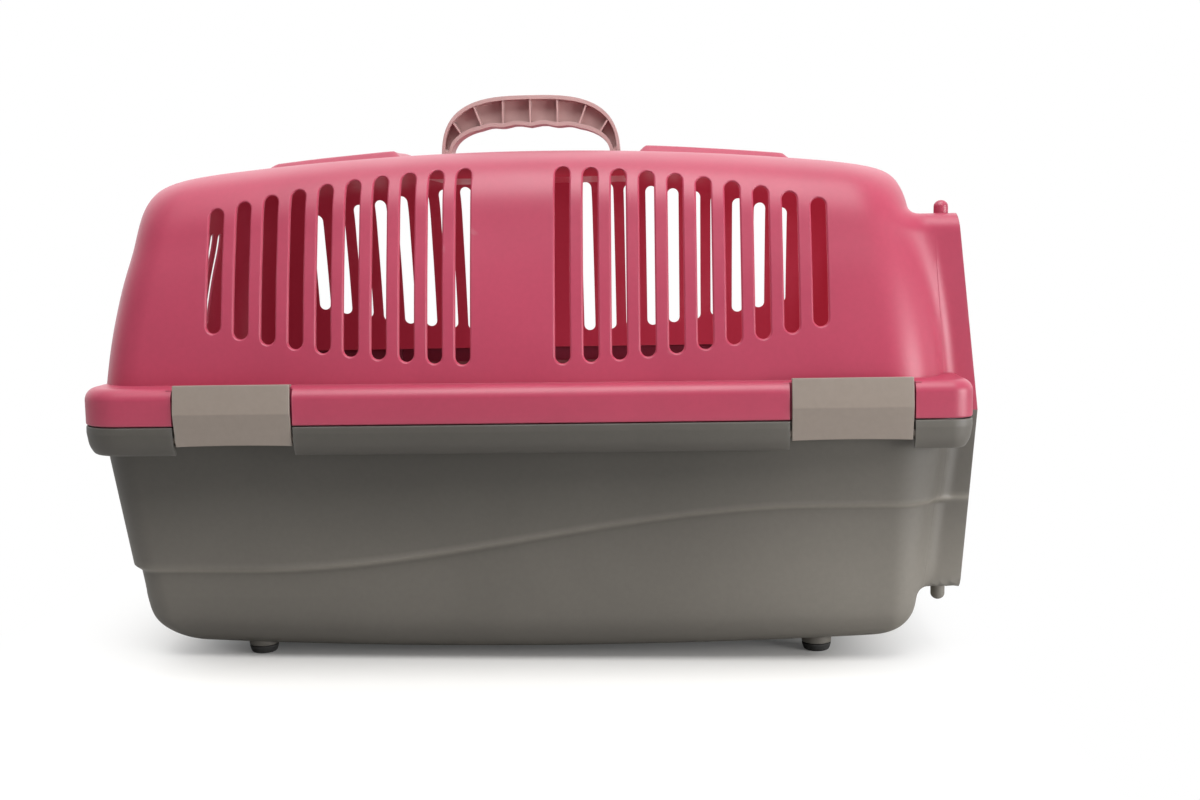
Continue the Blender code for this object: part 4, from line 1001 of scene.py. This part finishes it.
def handle():
    stations = 110
    rings = [grip_section(*handle_station(step / stations)) for step in range(stations + 1)]
    grip = rounded(loft("carry_grip", rings), 0.0005, 2, 50)
    knuckles, ribs, bores = [], [], []
    for side in (-1, 1):
        ends = sorted((MIDDLE_X + side * HANDLE_HALF, MIDDLE_X + side * (HANDLE_HALF - HANDLE_LEG)))
        profile = [(0.0074, ends[0]), (0.0080, ends[0] + 0.0006), (0.0080, ends[1] - 0.0006), (0.0074, ends[1])]
        knuckles.append(turned("knuckle", profile, (0, 0, PIVOT_Z), 40, axis="x"))
        bores.append(round_bar("bore", PIN_BORE, ends[0] - 0.002, ends[1] + 0.002, (0, 0, PIVOT_Z), "x"))
    for top_x, foot_x in ((0.0, 0.0), (FINGER_PITCH, FINGER_PITCH), (0.0445, 0.0369), (0.0615, 0.0524)):
        for side in (-1, 1) if top_x else (1,):
            inner = Vector((MIDDLE_X + side * foot_x, arch_z(foot_x, HANDLE_HALF - HANDLE_LEG, HANDLE_INNER_RISE)))
            outer = Vector((MIDDLE_X + side * top_x, arch_z(top_x, HANDLE_HALF, HANDLE_RISE)))
            along = (outer - inner).normalized()
            across = Vector((-along.y, along.x)) * 0.0007
            start, end = inner + along * 0.0012, outer - along * 0.0010
            corners = (start - across, end - across, end + across, start + across)
            ribs.append(rounded(prism("rib", [(c.x, -0.0089, c.y) for c in corners], (0, 0.0178, 0)), 0.0003, 2))
    add(grip, joined("knuckles", knuckles))
    add(grip, joined("ribs", ribs))
    cut(grip, joined("bores", bores))
    stand_in(finish_surface(grip, GRIP), "carry_handle")
    for end, side in (("rear", -1), ("front", 1)):
        a = MIDDLE_X + side * (HANDLE_HALF - HANDLE_LEG + 0.0006)
        b = MIDDLE_X + side * (HANDLE_HALF + 0.0115)
        low, high = sorted((a, b))
        profile = [(0.0020, low), (0.0025, low + 0.0004), (0.0025, high - 0.0004), (0.0020, high)]
        pin = turned(f"handle_pin_{end}_steel", profile, (0, 0, PIVOT_Z), 40, axis="x")
        stand_in(finish_surface(pin, STEEL), f"handle_pin_{end}")


# Clips


def clips():
    for hand, side in (("right", -1), ("left", 1)):
        for end, centre in zip(("rear", "front"), CLIP_CENTRES):
            rings = []
            for share in np.linspace(-1, 1, 25):
                arch = 0.0007 * (1 - share * share)
                bottom = 0.1612 + arch
                section = [(0.1970, 0.2028), (0.19965, 0.1840), (0.1996, 0.1828), (0.1947, bottom),
                           (0.1891, bottom + 0.0010 - arch), (0.1881, CLIP_HINGE_Z), (0.1903, 0.1689),
                           (0.1946, 0.1725), (0.1971, 0.1835), (0.1948, 0.2008), (0.1902, 0.2008), (0.1902, 0.2024)]
                rings.append([(centre + share * CLIP_HALF, side * y, z) for y, z in section])
            plate = rounded(loft(f"clip_{hand}_{end}_plate", rings), 0.0006, 3, 25)
            half = CLIP_HALF + CLIP_GAP + 0.004
            hinge = (0, side * CLIP_HINGE_Y, CLIP_HINGE_Z)
            add(plate, round_bar("trunnion", 0.0024, centre - half, centre + half, hinge, "x"))
            stand_in(finish_surface(plate, CLIP, 20), f"side_clip_{hand}_{end}")


# Door


def door_panel(back, front):
    low_y, high_y, low_z, high_z = HINGE_Y + 0.009, LATCH_Y - 0.0095, 0.0675, 0.2915
    panel = plate_x("door_panel", rounded_outline(-DOOR_HALF, DOOR_HALF, DOOR_BOTTOM_Z, DOOR_TOP_Z, 0.008), back, front)
    cut(panel, plate_x("window", rounded_outline(low_y, high_y, low_z, high_z, 0.004), back - 0.01, front + 0.01))
    panel = rounded(panel, 0.0011, 3, 50)
    bars = []
    for index in range(1, DOOR_BARS + 1):
        y = low_y + (high_y - low_y) / (DOOR_BARS + 1) * index
        bars.append(block("bar", (DOOR_X - 0.0025, y - 0.00275, low_z - 0.002),
                          (DOOR_X + 0.0025, y + 0.00275, high_z + 0.002), BAR_EDGE))
    add(panel, joined("bars", bars))
    crosses = [block("cross", (DOOR_X - 0.003, low_y - 0.002, z - 0.0035),
                     (DOOR_X + 0.003, high_y + 0.002, z + 0.0035), BAR_EDGE) for z in (0.118, 0.242)]
    add(panel, joined("crosses", crosses))
    add(panel, block("latch_pad", (back + 0.0002, 0.0985, LATCH_Z - 0.051),
                     (front - 0.0002, LATCH_Y, LATCH_Z + 0.051), 0.0015))
    cut(panel, block("groove", (0.2869, LATCH_Y - 0.0043, 0.0), (0.320, LATCH_Y + 0.0043, 0.4)))
    bridges = [block("bridge", (0.2915, LATCH_Y - 0.0073, z - 0.005),
                     (front + 0.0014, LATCH_Y + 0.0073, z + 0.005), 0.0005) for z in (0.0685, 0.2905)]
    add(panel, joined("bridges", bridges))
    cut(panel, round_bar("rod_bore", ROD_BORE, 0.0, 0.4, (DOOR_X, HINGE_Y, 0)))
    cut(panel, joined("screw_holes", screw_holes(0.0016, DOOR_X - 0.003, DOOR_X + 0.017)))
    stand_in(finish_surface(panel, CLIP), "door_grille")


def screw_holes(radius, back, front):
    return [round_bar("hole", radius, back, front, (0, SCREW_Y, LATCH_Z + way * SCREW_RISE), "x") for way in (-1, 1)]


def hinge_rod():
    profile = [(0.0016, 0.0400), (0.0023, 0.0407), (0.0023, 0.3133), (0.0016, 0.314)]
    rod = turned("hinge_rod_steel", profile, (DOOR_X, HINGE_Y, 0))
    stand_in(finish_surface(rod, STEEL), "door_hinge_rod")


def latch_bolt(name, way):
    inner_end = LATCH_Z + way * BOLT_INNER_END
    zs = sorted((inner_end, DOOR_TOP_Z if way > 0 else DOOR_BOTTOM_Z))
    bolt = block(f"bolt_{name}", (BOLT_BACK_X, LATCH_Y - 0.004, zs[0]), (BOLT_FRONT_X, LATCH_Y + 0.004, zs[1]), 0.0005)
    zs = sorted((inner_end + way * 0.003, inner_end + way * 0.012))
    add(bolt, block("tab", (BOLT_FRONT_X - 0.0010, LATCH_Y - 0.0037, zs[0]),
                    (BOLT_FRONT_X + 0.0075, LATCH_Y + 0.0037, zs[1]), 0.0009))
    stand_in(finish_surface(bolt, GRIP), f"latch_bolt_{name}")


def latch_cover(back, front):
    """Plate over the spring and the bolts, with a window for each thumb tab."""
    plate = rounded_outline(0.1015, 0.1345, LATCH_Z - 0.048, LATCH_Z + 0.048, 0.004)
    cover = plate_x("cover_plate", plate, back, front)
    windows = []
    for way in (-1, 1):
        low, high = sorted((LATCH_Z + way * 0.0185, LATCH_Z + way * 0.0365))
        corners = rounded_outline(LATCH_Y - 0.0045, LATCH_Y + 0.0045, low, high, 0.0012, 5)
        windows.append(plate_x("window", corners, 0.287, 0.302))
    cut(cover, joined("windows", windows))
    cut(cover, joined("holes", screw_holes(0.0018, 0.285, 0.300)))
    stand_in(finish_surface(rounded(cover, 0.0004, 2, 50), CLIP), "latch_cover")


def cover_screw(name, way, head):
    """A screw with a cross slot. head is where its head starts."""
    z = LATCH_Z + way * SCREW_RISE
    profile = [(0.0009, DOOR_X - 0.0022), (0.0012, DOOR_X - 0.0018), (0.0012, head), (0.0027, head),
               (0.0029, head + 0.0003), (0.0029, head + 0.0008), (0.0026, head + 0.0013), (0.0018, head + 0.0016)]
    screw = turned(f"cover_screw_{name}_steel", profile, (0, SCREW_Y, z), 40, axis="x")
    slots = [block("drive", (head + 0.0007, SCREW_Y - across, z - up), (head + 0.004, SCREW_Y + across, z + up))
             for across, up in ((0.0018, 0.0003), (0.0003, 0.0018))]
    cut(screw, *slots)
    stand_in(finish_surface(screw, STEEL), f"cover_screw_{name}")


def latch_spring():
    rings = []
    per_turn, sides = 24, 8
    steps = SPRING_TURNS * per_turn
    for step in range(steps + 1):
        angle = 2 * PI * step / per_turn
        z = LATCH_Z - SPRING_HALF + 2 * SPRING_HALF * step / steps
        ring = []
        for side in range(sides):
            tilt = 2 * PI * side / sides
            radius = SPRING_RADIUS + SPRING_WIRE * math.cos(tilt)
            ring.append((SPRING_X + radius * math.cos(angle), LATCH_Y + radius * math.sin(angle),
                         z + SPRING_WIRE * math.sin(tilt)))
        rings.append(ring)
    stand_in(finish_surface(loft("latch_coil", rings), STEEL), "latch_spring")


def door():
    back, front = DOOR_X - 0.004, DOOR_X + 0.004
    cover_back = front + 0.0003
    cover_front = cover_back + COVER_THICKNESS
    door_panel(back, front)
    hinge_rod()
    for name, way in (("upper", 1), ("lower", -1)):
        latch_bolt(name, way)
    latch_cover(cover_back, cover_front)
    for name, way in (("upper", 1), ("lower", -1)):
        cover_screw(name, way, cover_front + 0.0003)
    latch_spring()


# Studio


def sky():
    """White to the camera. To the carrier, a dome that is bright behind and above."""
    world = bpy.data.worlds.new("studio")
    tree = Tree(world)
    bpy.context.scene.world = world
    axes = tree.axes(tree.node("TexCoord").outputs["Generated"])
    behind = tree.span(axes["Y"], -0.1, 0.7, 0.08, 1.50)
    above = tree.span(axes["Z"], 0.15, 0.95, 0.0, 0.45)
    to_camera = tree.node("LightPath").outputs["Is Camera Ray"]
    background = tree.nodes["Background"]
    tree.put(background.inputs["Color"], tree.mix(to_camera, tree.maths("ADD", behind, above), (1.0, 1.0, 1.0, 1.0)))
    background.inputs["Strength"].default_value = 1.0


def lights():
    for name, place, aim, size, power in (
            ("side_light", (1.70, -0.95, 0.14), (0.1, 0.0, 0.18), 1.0, 36.0),
            ("top_light", (0.02, -0.85, 1.95), (0.0, 0.0, 0.2), 1.5, 43.0)):
        lamp = bpy.data.lights.new(name, "AREA")
        lamp.shape = "SQUARE"
        lamp.size = size
        lamp.energy = power
        holder = bpy.data.objects.new(name, lamp)
        holder.location = place
        holder.rotation_euler = (Vector(aim) - Vector(place)).to_track_quat("-Z", "Y").to_euler()
        bpy.context.scene.collection.objects.link(holder)


def floor_look():
    """Pale paper, which fades to white around the carrier for camera rays only. The white is emission, which also
    paints light into the carrier's cast shadow: a little under it and more past both ends.
    """
    material = bpy.data.materials.new("floor_look")
    tree = Tree(material)
    paper = tree.nodes["Principled BSDF"]
    to_camera = tree.node("LightPath").outputs["Is Camera Ray"]
    tree.put(paper.inputs["Base Color"], tree.mix(to_camera, (0.46, 0.455, 0.45, 1), (0.90, 0.89, 0.87, 1)))
    paper.inputs["Roughness"].default_value = 0.7
    grain = tree.node("TexNoise", {"Scale": 300.0}).outputs["Fac"]
    bump = tree.node("Bump", {"Distance": 0.0001, "Height": grain})
    tree.put(paper.inputs["Normal"], bump.outputs["Normal"])
    place = tree.node("TexCoord").outputs["Object"]
    away = tree.node("VectorMath", {0: place}, operation="LENGTH").outputs["Value"]
    # painted light: a little white emission even close by lightens the shadow under the carrier
    pale = tree.span(away, 0.42, 0.95, 0.05, 1.0, smooth=True)
    # painted light: lightens the cast shadow past both ends of the carrier
    for near, far in ((0.17, 0.33), (-0.17, -0.42)):
        pale = tree.maths("MAXIMUM", pale, tree.span(tree.axes(place)["X"], near, far, smooth=True))
    white = tree.node("Emission").outputs["Emission"]
    blend = tree.node("MixShader", {"Fac": tree.maths("MULTIPLY", pale, to_camera), 1: paper.outputs["BSDF"], 2: white})
    tree.put(tree.nodes["Material Output"].inputs["Surface"], blend.outputs["Shader"])
    return material


def camera():
    """Stands on the right side, a little above the carrier's middle and towards its door end."""
    holder = bpy.data.objects.new("camera", bpy.data.cameras.new("camera"))
    bpy.context.scene.collection.objects.link(holder)
    holder.data.sensor_width = 36.0
    holder.data.lens = 43.83
    holder.data.clip_start = 0.02
    yaw, pitch, roll = math.radians(-2.68), math.radians(-6.33), math.radians(-0.97)
    forward = Vector((math.sin(yaw) * math.cos(pitch), math.cos(yaw) * math.cos(pitch), math.sin(pitch)))
    level = Vector((math.cos(yaw), -math.sin(yaw), 0.0))
    up = level.cross(forward)
    right = math.cos(roll) * level + math.sin(roll) * up
    top = -math.sin(roll) * level + math.cos(roll) * up
    turn = Matrix((right, top, -forward)).transposed().to_4x4()
    holder.matrix_world = Matrix.Translation((0.099 - BOX_MIDDLE, -1.150, 0.296)) @ turn
    bpy.context.scene.camera = holder


def studio():
    bpy.context.scene.view_settings.view_transform = "Standard"
    sky()
    lights()
    size = 8.0
    corners = [(-size, -size, 0), (size, -size, 0), (size, size, 0), (-size, size, 0)]
    floor = make("studio_floor", corners, [(0, 1, 2, 3)])
    floor.data.materials.append(floor_look())
    camera()


roof_shell()
tub_shell()
feet()
handle()
clips()
door()
studio()
